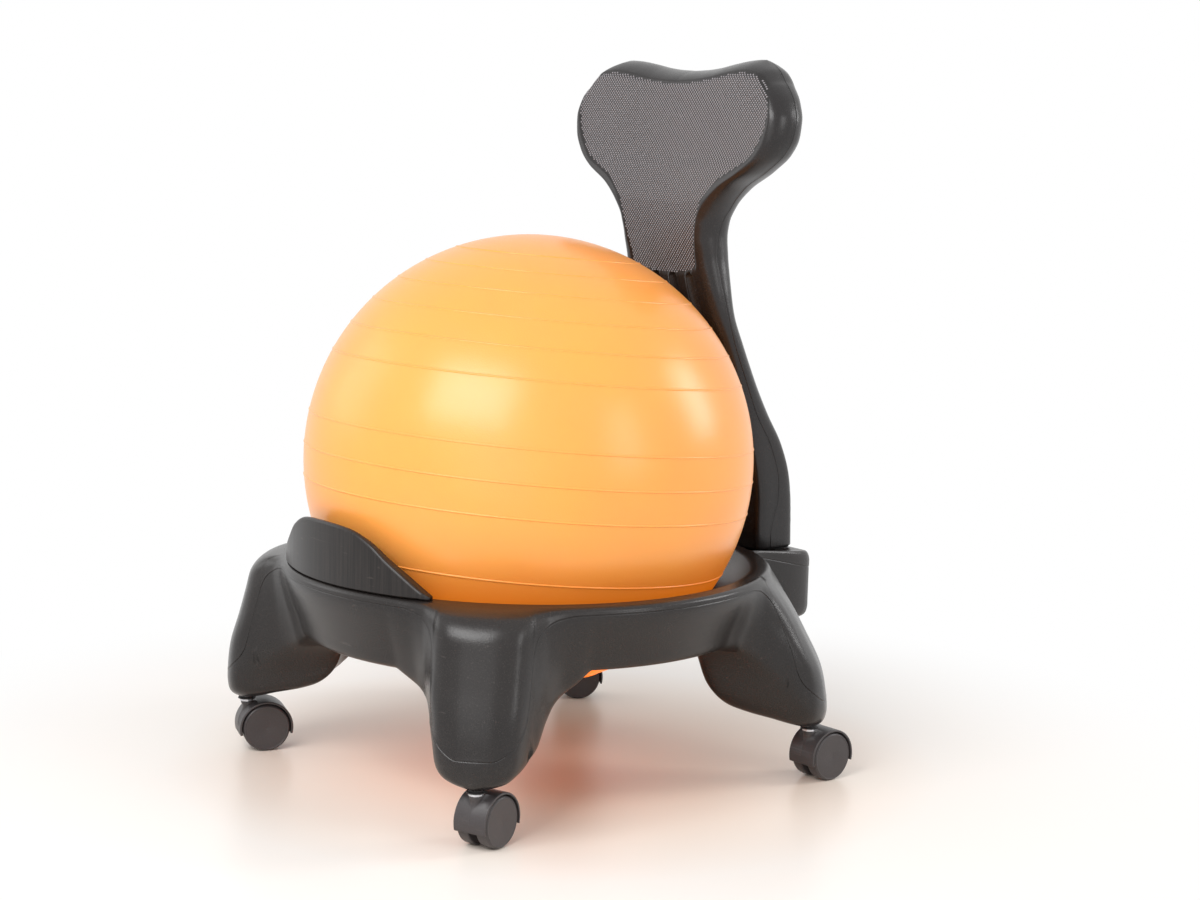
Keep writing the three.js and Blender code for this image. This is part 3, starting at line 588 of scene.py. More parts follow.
# %% [markdown]
# ## Base
#
# The base is one hollow moulding, and any section through the ring's axis is one closed
# outline: rim, outside, foot, underside and bowl. Going round the ring the outside swells into
# four legs and into the socket for the backrest. So the skin is a loft of such sections. The
# tables below give an outline's corners as shares of the heights and reaches beside it, and
# smooth curves run between them both down the section and round the ring.

# %% Sizes of the base, in millimetres
LEG_Z, SKIRT_Z, RIM_Z = 62.5, 172.0, 247.0
SEAT_Z, BOSS_Z, BOSS_TOP_Z = 215.0, 150.0, 235.0
RIM_INNER_R, RIM_FLAT_R, SKIRT_R = 262.0, 277.0, 255.0
FRONT_LEG_R, REAR_LEG_R, BOSS_REAR_Y = RIM_R + 71.0, RIM_R + 70.0, RIM_R + BOSS_REACH
LIP_R, LIP_HEIGHT, SEAT_R = 204.0, 18.0, 214.0
ROOT_HALF = 66.0
FLARE_HALF = 117.0  # where a leg has run out into the skirt
FRONT_DROP = 8.0  # how much lower the skirt hangs between the front legs
STOPPER_IN, STOPPER_OUT = 262.5, 279.5
STOPPER_MIDDLE_R, PEG_ANGLE = (STOPPER_IN + STOPPER_OUT) / 2, math.radians(18)
BOSS_HALF, BOSS_ROOT_HALF = 84.0, 104.0
LEG_ANGLES = [math.radians(a) for a in (45, 135, 225, 315)]

# Share of the way down, then the reach on the ring, a front leg, a rear leg and the boss,
# and the boss's own share of the way down.
OUTER_SHARES = np.array([
    (0, 0.79, 0.05, 0.02, 0.05, 0),
    (0.015, 0.89, 0.32, 0.08, 0.88, 0),
    (0.05, 0.98, 0.48, 0.12, 0.96, 0.03),
    (0.13, 1, 0.63, 0.25, 1, 0.13),
    (0.26, 0.91, 0.715, 0.455, 1, 0.26),
    (0.42, 0.75, 0.815, 0.665, 1, 0.42),
    (0.62, 0.54, 0.955, 0.9, 1, 0.65),
    (0.78, 0.38, 1, 0.985, 1, 0.78),
    (0.9, 0.27, 1, 1, 1, 0.84),
    (0.965, 0.18, 0.95, 0.94, 0.97, 0.95),
    (1, 0, 0.77, 0.77, 0.86, 1),
])
# Share of the way in under the foot, then how much of the leg's and the boss's depth is left.
UNDER_SHARES = [
    (0.1, 0.99, 1), (0.3, 0.93, 1), (0.52, 0.865, 1),
    (0.7, 0.78, 0.55), (0.83, 0.62, 0.15), (0.93, 0.27, 0),
]
# Share of the flare's half width, then the leg's depth left on its side towards the front or
# rear arch, and on its side towards the side arch, on a front and on a rear leg.
LEG_DROP_SHARES = np.array([
    (0, 1, 1, 1), (0.22, 0.91, 0.93, 0.92), (0.31, 0.81, 0.85, 0.8), (0.35, 0.64, 0.81, 0.7),
    (0.4, 0.52, 0.75, 0.54), (0.46, 0.4, 0.68, 0.36), (0.54, 0.29, 0.47, 0.2),
    (0.62, 0.21, 0.31, 0.1), (0.71, 0.15, 0.22, 0.05), (0.86, 0.07, 0.12, 0.02), (1, 0, 0, 0),
])
# How a leg's rounded front draws back into the ring: share of the root's half width.
LEG_SIDE_SHARES = [
    (0, 1), (0.2, 0.985), (0.35, 0.945), (0.47, 0.89), (0.54, 0.835), (0.63, 0.72), (0.79, 0.45),
    (1, 0.2), (1.29, 0.06), (1.69, 0),
]


# %% One section of the base for each angle round the ring
def off_centre(theta, centre):
    off = theta - centre
    return np.abs(np.arctan2(np.sin(off), np.cos(off)))


REACH_END = math.asin(ROOT_HALF / RIM_FLAT_R)
FLARE_END = math.asin(FLARE_HALF / RIM_R)
BOSS_FULL = math.asin(BOSS_HALF / BOSS_REAR_Y) * 0.95
BOSS_END = math.asin(BOSS_ROOT_HALF / RIM_R)


def boss_share(theta):
    """How far a section belongs to the rear socket."""
    aside = off_centre(theta, math.pi)
    return 1.0 - smooth((aside - BOSS_FULL) / (BOSS_END - BOSS_FULL))


def away_from_legs(theta):
    return np.min([off_centre(theta, centre) for centre in LEG_ANGLES], axis=0)


def leg_depth(theta, away):
    """How far a leg hangs below the skirt."""
    arch, front_side, rear_side = (
        flow(LEG_DROP_SHARES, away / FLARE_END, column) for column in (1, 2, 3))
    side = np.where(np.cos(theta) < 0, rear_side, front_side)
    beside = np.abs(np.sin(theta)) > np.abs(np.cos(theta))
    return np.where(beside, side, arch) * (SKIRT_Z - LEG_Z)


def base_sections(theta):
    """Outlines of (radius, height), one for each angle."""
    away, aside = away_from_legs(theta), off_centre(theta, math.pi)
    leg = flow(LEG_SIDE_SHARES, away / REACH_END)
    boss = boss_share(theta)
    front = smooth((math.pi / 4 - off_centre(theta, 0.0)) / FLARE_END)
    arch_depth = boss * (SKIRT_Z - BOSS_Z) + front * FRONT_DROP
    top_z = RIM_Z - boss * (RIM_Z - BOSS_TOP_Z)
    rear = np.cos(theta) < 0
    leg_r = np.where(rear, REAR_LEG_R, FRONT_LEG_R)
    boss_r = BOSS_REAR_Y / np.cos(np.minimum(aside, BOSS_FULL))
    flat = np.ones_like(theta)

    def outer_r(row):
        _, ring, front_leg, rear_leg, rear_boss, _ = row
        plain = mix(SKIRT_R, RIM_R, ring)
        on_leg = mix(RIM_FLAT_R, leg_r, np.where(rear, rear_leg, front_leg))
        return mix(mix(plain, on_leg, leg), mix(RIM_FLAT_R, boss_r, rear_boss), boss)

    foot_r = outer_r(OUTER_SHARES[-1])
    foot_z = SKIRT_Z - leg_depth(theta, away) - arch_depth
    outline = [(RIM_INNER_R * flat, RIM_Z * flat), (RIM_FLAT_R * flat, RIM_Z * flat)]
    for row in OUTER_SHARES:
        outline.append((outer_r(row), mix(top_z, foot_z, mix(row[0], row[5], boss))))
    for inward, on_leg, on_arch in UNDER_SHARES:
        r = mix(foot_r, LIP_R, inward)
        beside = np.arcsin(np.minimum(1.0, r / foot_r * np.sin(away)))  # the sides run parallel
        outline.append((r, SKIRT_Z - leg_depth(theta, beside) * on_leg - arch_depth * on_arch))
    lip_z = SKIRT_Z + (SEAT_Z - SKIRT_Z) / 8
    bowl = [
        (LIP_R, lip_z),
        (LIP_R - LIP_HEIGHT / 4, lip_z + LIP_HEIGHT * 0.6),
        (mix(LIP_R, SEAT_R, 0.3), SEAT_Z - LIP_HEIGHT * 0.7),
        (SEAT_R, SEAT_Z),
        (mix(SEAT_R, RIM_INNER_R, 0.55), mix(SEAT_Z, RIM_Z, 0.5)),
        (RIM_INNER_R - 2.7, RIM_Z - 2.0),
    ]
    outline += [(r * flat, z * flat) for r, z in bowl]
    return np.stack([np.stack(point, axis=1) for point in outline], axis=1)


# %% [markdown]
# The two halves of the mould met along a line that runs under the rim, down both sides of each
# leg and across its toe. It shows as a fine groove. Bump alone would not show in the outline or
# in a printed part, so the sections put a close cluster of points along the line, and the
# groove is pressed into those.

# %% Height of the parting line round the base
PARTING_RIM_Z, PARTING_TOE_Z, PARTING_BOSS_Z = 238.5, 99.0, 213.0
PARTING_SHARES = [
    (0, 0), (0.13, 0), (0.2, 0.03), (0.28, 0.09), (0.33, 0.15), (0.37, 0.26), (0.395, 0.5),
    (0.415, 0.75), (0.45, 0.86), (0.52, 0.93), (0.62, 0.975), (0.78, 1),
]
theta_turns = np.linspace(0, 2 * math.pi, 20001)
crowd = 1.0 + 1.8 * np.exp(-(((away_from_legs(theta_turns) - REACH_END * 0.8) / 0.07) ** 2))
crowd += 1.8 * np.exp(-(((off_centre(theta_turns, math.pi) - BOSS_END * 0.9) / 0.05) ** 2))
run = np.concatenate([[0], np.cumsum((crowd[1:] + crowd[:-1]) / 2)])
SECTIONS = 576
theta = np.interp(np.linspace(0, run[-1], SECTIONS, endpoint=False), run, theta_turns)


def parting_heights(theta):
    rise = flow(PARTING_SHARES, away_from_legs(theta) / FLARE_END)
    rim = mix(PARTING_RIM_Z, PARTING_BOSS_Z, boss_share(theta))
    return mix(PARTING_TOE_Z, rim, rise)


print("sections:", SECTIONS, "closest", round(math.degrees(np.diff(theta).min()), 2), "degrees")

# %% Skin of the base with its parting groove
GROOVE_DEPTH, GROOVE_WIDTH, BEAD = 0.7, 1.1, 0.3
SKIN_INSET = 0.35  # the skin lies this far inside the CAD's, so that the bead stays within it
ABOVE_LINE, BELOW_LINE = 40, 76  # points of a section before and after the line
GROOVE_STEPS = np.array([-1.6, -1.0, -0.55, -0.25, 0, 0.25, 0.55, 1.0, 1.6])


def groove(steps):
    """Depth of the groove at distances from its middle, with a low bead beside it."""
    dip = -GROOVE_DEPTH * np.exp(-((steps / (GROOVE_WIDTH / 2)) ** 2))
    return dip + BEAD * np.exp(-(((steps + 1.2) / 0.5) ** 2))


def with_cluster(curve, cut, above, below, steps):
    """Points along an open curve, close together round the distance cut."""
    travelled = along(curve)
    first = np.linspace(0, cut + steps[0], above, endpoint=False)
    rest = np.linspace(cut + steps[-1], travelled[-1], below)[1:]
    places = np.concatenate([first, cut + steps, rest])
    columns = [np.interp(places, travelled, column) for column in curve.T]
    return np.stack(columns, axis=1)


def base_grid():
    outlines = rounded(base_sections(theta), 8)
    heights = parting_heights(theta)
    rows = []
    for outline, height in zip(outlines, heights):
        closed = np.vstack([outline, outline[:1]])
        travelled = along(closed)
        outer = np.argmax(outline[:, 0] > RIM_FLAT_R - 1)
        passed = outer + np.argmax(outline[outer:, 1] < height)
        before, after = outline[passed - 1], outline[passed]
        part = (before[1] - height) / (before[1] - after[1])
        cut = mix(travelled[passed - 1], travelled[passed], part)
        rows.append(with_cluster(closed, cut, ABOVE_LINE, BELOW_LINE, GROOVE_STEPS)[:-1])
    flat = np.array(rows)
    grid = round_ring(theta, flat[..., 0], flat[..., 1])
    press = np.zeros(flat.shape[1])
    press[ABOVE_LINE:ABOVE_LINE + len(GROOVE_STEPS)] = groove(GROOVE_STEPS)
    normal = sheet_normals(grid, rows_close=True)
    outward = np.stack([np.sin(theta), -np.cos(theta), 0 * theta], axis=1)
    on_line = normal[:, ABOVE_LINE + len(GROOVE_STEPS) // 2]
    if np.mean(np.sum(on_line * outward, axis=1)) < 0:
        normal = -normal
    return grid + normal * (press - SKIN_INSET)[None, :, None]


skin = base_grid()
faces = sheet_faces(skin.shape[0], skin.shape[1], rows_close=True)
base = mesh_of("base_moulding", in_metres(skin.reshape(-1, 3)), faces, base_finish)
tidy(base)
print("base skin:", len(base.data.vertices), "points")

# %% [markdown]
# Under the legs are the bores for the caster sockets, in the rear socket are the pocket for
# the backrest's tongue and the two bolt recesses, and the ring's underside has its vents.
# The cutters take their places from the CAD pieces that sit in them.

# %% Holes in the base
CASTERS = ["front_right", "rear_right", "rear_left", "front_left"]
BORE_GAP = 0.3
VENT_R, PEG_R, BOLT_R, FLANGE_WIDTH = 4.0, 4.0, 4.0, 2.5
FLANGE_SINK, PEG_DEPTH, OVERRUN = 0.9, 10.0, 6.0
VENT_BELOW, VENT_ABOVE = 14.0, 25.0  # how far a vent's cutter runs from the skirt's height
PEG_PLACES = [
    (STOPPER_MIDDLE_R * math.sin(angle), -STOPPER_MIDDLE_R * math.cos(angle))
    for angle in (-PEG_ANGLE, PEG_ANGLE)
]
TONGUE_HALF_X, TONGUE_HALF_Y, TONGUE_CORNER_R, TONGUE_LENGTH = 46.0, 15.0, 6.0, 54.0
POCKET_FLOOR_Z = BOSS_TOP_Z + 0.3 - TONGUE_LENGTH - BORE_GAP


def middle(name):
    """The middle of a CAD node in millimetres round the ring's axis."""
    low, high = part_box(name)
    return (low.x + high.x) / 2 / MM, (low.y + high.y) / 2 / MM - AXIS_Y


def base_cutters():
    cutters = []
    for caster in CASTERS:
        low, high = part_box(f"{caster}_socket")
        x, y = middle(f"{caster}_socket")
        flange_r = (high.x - low.x) / 2 / MM
        top = high.z / MM
        pin_r = flange_r - FLANGE_WIDTH
        cutters.append(bar(flange_r + BORE_GAP, LEG_Z - OVERRUN, LEG_Z + FLANGE_SINK, x, y))
        cutters.append(bar(pin_r + BORE_GAP, LEG_Z - OVERRUN, top + BORE_GAP, x, y))
    for side in ("left", "right"):
        low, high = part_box(f"backrest_washer_{side}")
        x, y = middle(f"backrest_washer_{side}")
        washer_r = (high.x - low.x) / 2 / MM
        recess_z = high.z / MM + BORE_GAP
        cutters.append(bar(washer_r + BORE_GAP, BOSS_Z - OVERRUN, recess_z, x, y))
        cutters.append(bar(BOLT_R + BORE_GAP, BOSS_Z, POCKET_FLOOR_Z + OVERRUN, x, y))
    foot_y = middle("backrest_washer_left")[1]
    pocket_x, pocket_y = TONGUE_HALF_X + BORE_GAP, TONGUE_HALF_Y + BORE_GAP
    pocket = rounded_box(pocket_x, pocket_y, TONGUE_CORNER_R, 0.0, foot_y)
    cutters.append(slab(pocket, POCKET_FLOOR_Z, BOSS_TOP_Z + OVERRUN))
    vent_r = (SKIRT_R + LIP_R) / 2
    for angle in (0.0, math.pi / 2, -math.pi / 2):
        x, y = vent_r * math.sin(angle), -vent_r * math.cos(angle)
        cutters.append(bar(VENT_R, SKIRT_Z - VENT_BELOW, SKIRT_Z + VENT_ABOVE, x, y))
    for x, y in PEG_PLACES:
        cutters.append(bar(PEG_R + BORE_GAP, RIM_Z - PEG_DEPTH, RIM_Z + OVERRUN, x, y))
    return cutters


combine(base, base_cutters())
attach(base, "base")
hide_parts("base_frame")
print("base moulding:", len(base.data.polygons), "faces")

# %% [markdown]
# ## Backrest
#
# The backrest is one hollow moulding too: a post that curves forward round the ball, and two
# wings above it. Each level section is a flat bar with rolled edges. The table gives the half
# width, the setback, the thickness and the bow at shares of the height, and the wings end in a
# top line that dips in the middle.

# %% Sizes of the backrest, in millimetres
FOOT_Z = BOSS_TOP_Z + 0.3
BACK_HEIGHT, WING_HALF = 593.0, 195.0
FOOT_Y, LEAN, FOOT_THICK = BOSS_REAR_Y - 39.0, 126.0, 59.0
LUMBAR_Y = FOOT_Y - LEAN
BOW, ROLL_R, FOOT_CORNER_R, TOP_DIP = 6.0, 16.0, 13.0, 12.5
WINGS_AT = 0.816  # share of the height where the wings' rise starts
ROLL_AT = 0.8  # share of that rise where the top's roll starts
TOP_LOSS = 0.6  # how far the CAD's last row lies below the full height

BACK_SHARES = [
    (0, 0.328, 1, 1, 0),
    (0.092, 0.344, 0.967, 0.97, 0),
    (0.156, 0.364, 0.902, 0.95, 0.1),
    (0.221, 0.379, 0.787, 0.88, 0.4),
    (0.287, 0.395, 0.616, 0.75, 0.8),
    (0.362, 0.415, 0.44, 0.61, 0.95),
    (0.435, 0.425, 0.275, 0.57, 0.95),
    (0.493, 0.428, 0.15, 0.61, 0.5),
    (0.53, 0.425, 0.105, 0.67, 0.2),
    (0.573, 0.414, 0.072, 0.74, 0),
    (0.612, 0.405, 0.045, 0.8, 0),
    (0.646, 0.405, 0.02, 0.85, 0),
    (0.68, 0.421, 0.01, 0.9, 0),
    (0.714, 0.482, 0.01, 0.93, 0.1),
    (0.748, 0.593, 0.022, 0.95, 0.4),
    (0.782, 0.775, 0.034, 0.95, 0.8),
    (WINGS_AT, 0.9, 0.066, 0.93, 1),
]
WING_SHARES = [
    (0.2, 0.955, 0.084, 0.92, 1),
    (0.4, 0.968, 0.095, 0.9, 1),
    (0.6, 0.935, 0.112, 0.9, 0.9),
    (0.78, 0.865, 0.138, 0.9, 0.6),
    (0.9, 0.775, 0.178, 0.9, 0.4),
    (1, 0.64, 0.225, 0.9, 0.3),
]
TOP_SHARES = [
    (0, 1), (0.13, 0.92), (0.26, 0.72), (0.41, 0.33), (0.54, 0.06), (0.61, 0), (0.74, 0.24),
    (0.82, 0.8),
]
ALL_SHARES = BACK_SHARES + [(WINGS_AT + (1 - WINGS_AT) * row[0], *row[1:]) for row in WING_SHARES]
WINGS_Z = FOOT_Z + WINGS_AT * BACK_HEIGHT
BACK_TOP = FOOT_Z + BACK_HEIGHT - TOP_LOSS


def top_line(x):
    return BACK_TOP - flow(TOP_SHARES, np.abs(x) / WING_HALF) * TOP_DIP


# %% One level section, from the middle of the front round the edge to the middle of the back
# Distance of the parting line behind the middle of the edge: share of the height, millimetres.
PARTING_OFF = [
    (0, -10), (0.03, -10), (0.07, -5), (0.1, 1), (0.16, 5), (0.22, 3), (0.3, -3), (0.42, -4),
    (0.5, 0), (0.6, -3), (0.66, 2), (0.69, 6), (0.71, 9), (0.73, 8), (0.76, 5), (0.8, 5),
    (0.9, 7), (1, 5),
]


def back_section(share):
    half_width, setback, thickness, bow = (flow(ALL_SHARES, share, k) for k in (1, 2, 3, 4))
    rise = (share - WINGS_AT) / (1 - WINGS_AT)
    roll = max(0.0, (rise - ROLL_AT) / (1 - ROLL_AT))
    half_width = half_width * WING_HALF
    half = thickness * FOOT_THICK / 2 * math.sqrt(max(0.0, 1.0 - roll * roll))
    foot = 1.0 - smooth(share * BACK_HEIGHT / 3.0)
    half_width, half = half_width - 2.0 * foot, half - 2.0 * foot
    middle_y = LUMBAR_Y + setback * LEAN
    low = smooth((setback - 0.4) / 0.5)
    corner, square = mix(ROLL_R, FOOT_CORNER_R, low), mix(1.0, 0.5, low)
    turns = np.linspace(math.pi / 2, 0, 25)
    edge_x = half_width - corner + corner * np.cos(turns) ** square
    edge_y = half * np.sin(turns) ** square
    flat_x = np.linspace(0, half_width - corner, 40, endpoint=False)
    front = np.column_stack([np.append(flat_x, edge_x), -np.append(np.full(40, half), edge_y)])
    back = front[::-1][1:] * [1, -1]
    section = np.vstack([front, back])
    u = section[:, 0] / half_width
    y = middle_y + section[:, 1] + bow * BOW * (1 - u * u)
    return np.column_stack([section[:, 0], y]), middle_y, half


def back_heights(share, x):
    if share <= WINGS_AT:
        return np.full_like(x, FOOT_Z + share * BACK_HEIGHT)
    return mix(WINGS_Z, top_line(x), (share - WINGS_AT) / (1 - WINGS_AT))


FRONT_POINTS, REAR_POINTS = 88, 30


def back_row(share):
    section, middle_y, half = back_section(share)
    edge = len(section) // 2
    travelled = along(section)
    off = float(flow(PARTING_OFF, share))
    off = max(-half * 0.8, min(half * 0.8, off))
    beside = slice(edge - 20, edge + 21)
    cut = float(np.interp(middle_y + off, section[beside, 1], travelled[beside]))
    steps = GROOVE_STEPS * min(1.0, half / 6.0)
    points = with_cluster(section, cut, FRONT_POINTS, REAR_POINTS, steps)
    z = back_heights(share, points[:, 0])
    right_side = np.column_stack([points, z])
    left_side = right_side[1:-1][::-1] * [-1, 1, 1]
    return np.vstack([right_side, left_side])


# %% [markdown]
# The wings carry a textured panel inside a smooth border, and the panel reaches down to four
# upright slots. Its outline is drawn by a few points on the right half. For any point the
# distance to that outline says how deep the surface is pressed there, which makes the fine
# step round the panel and the raised lips round the slots.

# %% Outline of the panel and distances to outlines
PANEL_RIGHT = [
    (58, 582), (61, 600), (64, 618), (68, 637), (74, 655), (84, 671), (101, 686), (124, 698),
    (145, 710), (161, 727), (170, 745), (174, 765), (171, 785), (162, 800), (149, 810),
]
PANEL_TOP_GAP = 12.5
SLOT_PITCH, SLOT_WIDTH, SLOT_LENGTH, SLOT_DEPTH = 31.0, 13.0, 98.0, 9.0
SLOT_TOP = FOOT_Z + 342.0
INSERT_R, INSERT_LENGTH = 6.0, 16.0
SLOT_PLACES = [place * SLOT_PITCH for place in (-1.5, -0.5, 0.5, 1.5)]


def panel_outline():
    across = np.linspace(120, -120, 17)
    top = [(x, top_line(x) - PANEL_TOP_GAP) for x in across]
    left = [(-x, z) for x, z in reversed(PANEL_RIGHT)]
    corners = np.array([PANEL_RIGHT + top + left], float)
    return rounded(corners, 6)[0]


def distance_inside(points, outline):
    """Distance from points to a closed outline, positive inside it."""
    ahead = np.roll(outline, -1, axis=0)
    nearest = np.full(len(points), np.inf)
    inside = np.zeros(len(points), bool)
    for a, b in zip(outline, ahead):
        edge = b - a
        t = np.clip(((points - a) @ edge) / (edge @ edge + 1e-12), 0, 1)
        nearest = np.minimum(nearest, np.linalg.norm(points - a - t[:, None] * edge, axis=1))
        straddles = (a[1] > points[:, 1]) != (b[1] > points[:, 1])
        if straddles.any():
            reach = a[0] + (points[:, 1] - a[1]) * edge[0] / (edge[1] + 1e-12)
            inside ^= straddles & (points[:, 0] < reach)
    return np.where(inside, nearest, -nearest)


panel = panel_outline()
print("panel outline:", len(panel), "points from z", panel[:, 1].min().round(), "mm up")

# %% Skin of the backrest
PANEL_STEP, PANEL_EDGE, LIP_RISE = 1.3, 3.2, 0.9


def back_shares():
    """Shares of the height for the rows, close together at the foot and the top roll."""
    plain = np.linspace(0.012, WINGS_AT + (1 - WINGS_AT) * ROLL_AT, 205)
    foot = np.array([0, 0.0012, 0.0025, 0.0045, 0.008])
    turns = np.linspace(0, math.radians(86), 22)[1:]
    roll = WINGS_AT + (1 - WINGS_AT) * mix(ROLL_AT, 1.0, np.sin(turns))
    return np.concatenate([foot, plain, roll])


def back_grid():
    grid = np.array([back_row(share) for share in back_shares()])
    press = np.zeros(grid.shape[:2])
    lines = slice(FRONT_POINTS, FRONT_POINTS + len(GROOVE_STEPS))
    count = grid.shape[1]
    mirrored = slice(count - FRONT_POINTS - len(GROOVE_STEPS) + 1, count - FRONT_POINTS + 1)
    fade = np.minimum(1.0, (1.0 - back_shares()) / 0.004)[:, None]
    press[:, lines] = groove(GROOVE_STEPS) * fade
    press[:, mirrored] = groove(GROOVE_STEPS)[::-1] * fade
    normal = sheet_normals(grid, rows_close=False)
    if normal[100, 0, 1] > 0:
        normal = -normal
    is_front = normal[..., 1] < -0.3
    flat = grid[..., [0, 2]].reshape(-1, 2)
    depth = distance_inside(flat, panel).reshape(grid.shape[:2])
    press -= np.where(is_front, PANEL_STEP * smooth(depth / PANEL_EDGE), 0.0)
    for x in SLOT_PLACES:
        radius = SLOT_WIDTH / 2
        low, high = SLOT_TOP - SLOT_LENGTH + radius, SLOT_TOP - radius
        gap = np.hypot(grid[..., 0] - x, grid[..., 2] - np.clip(grid[..., 2], low, high)) - radius
        press += np.where(is_front, LIP_RISE * np.exp(-(((gap - 1.2) / 1.3) ** 2)), 0.0)
    skin = grid + normal * (press - SKIN_INSET)[..., None]
    return skin, np.where(is_front, depth, -1.0)


def close_gap(front, rear, x, start):
    """Triangles across the gap between two lines of points that run the same way."""
    made, i, j = [], 0, 0
    while i < len(front) - 1 or j < len(rear) - 1:
        at_end = j == len(rear) - 1
        if at_end or (i < len(front) - 1 and x[front[i + 1]] <= x[rear[j + 1]]):
            corner = (front[i], front[i + 1], rear[j])
            i += 1
        else:
            corner = (front[i], rear[j + 1], rear[j])
            j += 1
        if len(set(corner)) == 3:
            made.append(tuple(start + k for k in corner))
    return made


back_points, panel_depth = back_grid()
rows, columns = back_points.shape[:2]
faces = [tuple(f) for f in sheet_faces(rows, columns)]
tip = FRONT_POINTS + len(GROOVE_STEPS) // 2
front_line = [i % columns for i in range(-tip, tip + 1)]
back_line = [columns - tip - i for i in range(columns - 2 * tip + 1)]
for row in (0, rows - 1):
    faces += close_gap(front_line, back_line, back_points[row, :, 0], row * columns)
back = mesh_of("backrest_moulding", in_metres(back_points.reshape(-1, 3)), faces, back_finish)
depth_layer = back.data.attributes.new("panel_depth", "FLOAT", "POINT")
depth_layer.data.foreach_set("value", panel_depth.ravel().astype(np.float32) * MM)
tidy(back)
print("backrest skin:", len(back.data.vertices), "points")

# %% [markdown]
# The four slots are cut on a slant that follows the front of the post, and the tongue that
# drops into the base is joined on below the foot.

# %% Slots and tongue of the backrest


def slot_cutter(x, slope, y, z):
    radius = SLOT_WIDTH / 2
    outline = rounded_box(radius, SLOT_LENGTH / 2 / math.cos(slope), radius - 0.01)
    stand = Matrix.Rotation(slope, 4, "X") @ Matrix.Rotation(math.pi / 2, 4, "X")
    place = Matrix.Translation((x * MM, (y + AXIS_Y) * MM, z * MM))
    return moved(slab(outline, -SLOT_DEPTH, SLOT_DEPTH * 2), place @ stand)


def front_of_back(z):
    share = (z - FOOT_Z) / BACK_HEIGHT
    thick = float(flow(ALL_SHARES, share, 3)) * FOOT_THICK
    return LUMBAR_Y + float(flow(ALL_SHARES, share, 2)) * LEAN - thick / 2


def finish_backrest():
    low_y, high_y = front_of_back(SLOT_TOP - SLOT_LENGTH), front_of_back(SLOT_TOP)
    slope = math.atan2(low_y - high_y, SLOT_LENGTH)
    slot_y, slot_z = (low_y + high_y) / 2, SLOT_TOP - SLOT_LENGTH / 2
    combine(back, [slot_cutter(x, slope, slot_y, slot_z) for x in SLOT_PLACES])
    outline = rounded_box(TONGUE_HALF_X, TONGUE_HALF_Y, TONGUE_CORNER_R, 0, FOOT_Y)
    tongue_z = FOOT_Z - TONGUE_LENGTH
    tongue = slab(outline, tongue_z, FOOT_Z + OVERRUN)
    combine(back, [tongue], "UNION")
    bores = []
    for side in ("left", "right"):
        x, y = middle(f"backrest_insert_{side}")
        bore_top = tongue_z + INSERT_LENGTH + BORE_GAP
        bores.append(bar(INSERT_R + BORE_GAP, tongue_z - OVERRUN, bore_top, x, y))
    combine(back, bores)


# %% [markdown]
# The panel's texture is thousands of little domes in staggered rows, as pressed into the mould.
# A bump would vanish in the outline and in a printed part, so they are real. Geometry Nodes
# lays a flat grid of points in front of the panel, shifts every other row by half a pitch,
# throws the points back onto the surface, and keeps those that land well inside the outline.
# A low dome of a few faces stands on each.

# %% Dots of the panel
PANEL_MIN, PANEL_MAX = panel.min(axis=0), panel.max(axis=0)


def geometry_group(name, inputs):
    """An empty geometry tree with named inputs, and its two end nodes."""
    group = bpy.data.node_groups.new(name, "GeometryNodeTree")
    group.interface.new_socket("Geometry", in_out="INPUT", socket_type="NodeSocketGeometry")
    for label, kind, default in inputs:
        socket = group.interface.new_socket(label, in_out="INPUT", socket_type=kind)
        if default is not None:
            socket.default_value = default
    group.interface.new_socket("Geometry", in_out="OUTPUT", socket_type="NodeSocketGeometry")
    return group, group.nodes.new("NodeGroupInput"), group.nodes.new("NodeGroupOutput")


def finish_tree(group, geometry, start, end):
    """Turns instances into plain mesh and gives it the tree's material."""
    real = node(group, "GeometryNodeRealizeInstances", Geometry=geometry)
    painted = node(
        group, "GeometryNodeSetMaterial", Geometry=real.outputs[0],
        Material=start.outputs["Material"])
    group.links.new(painted.outputs[0], end.inputs[0])


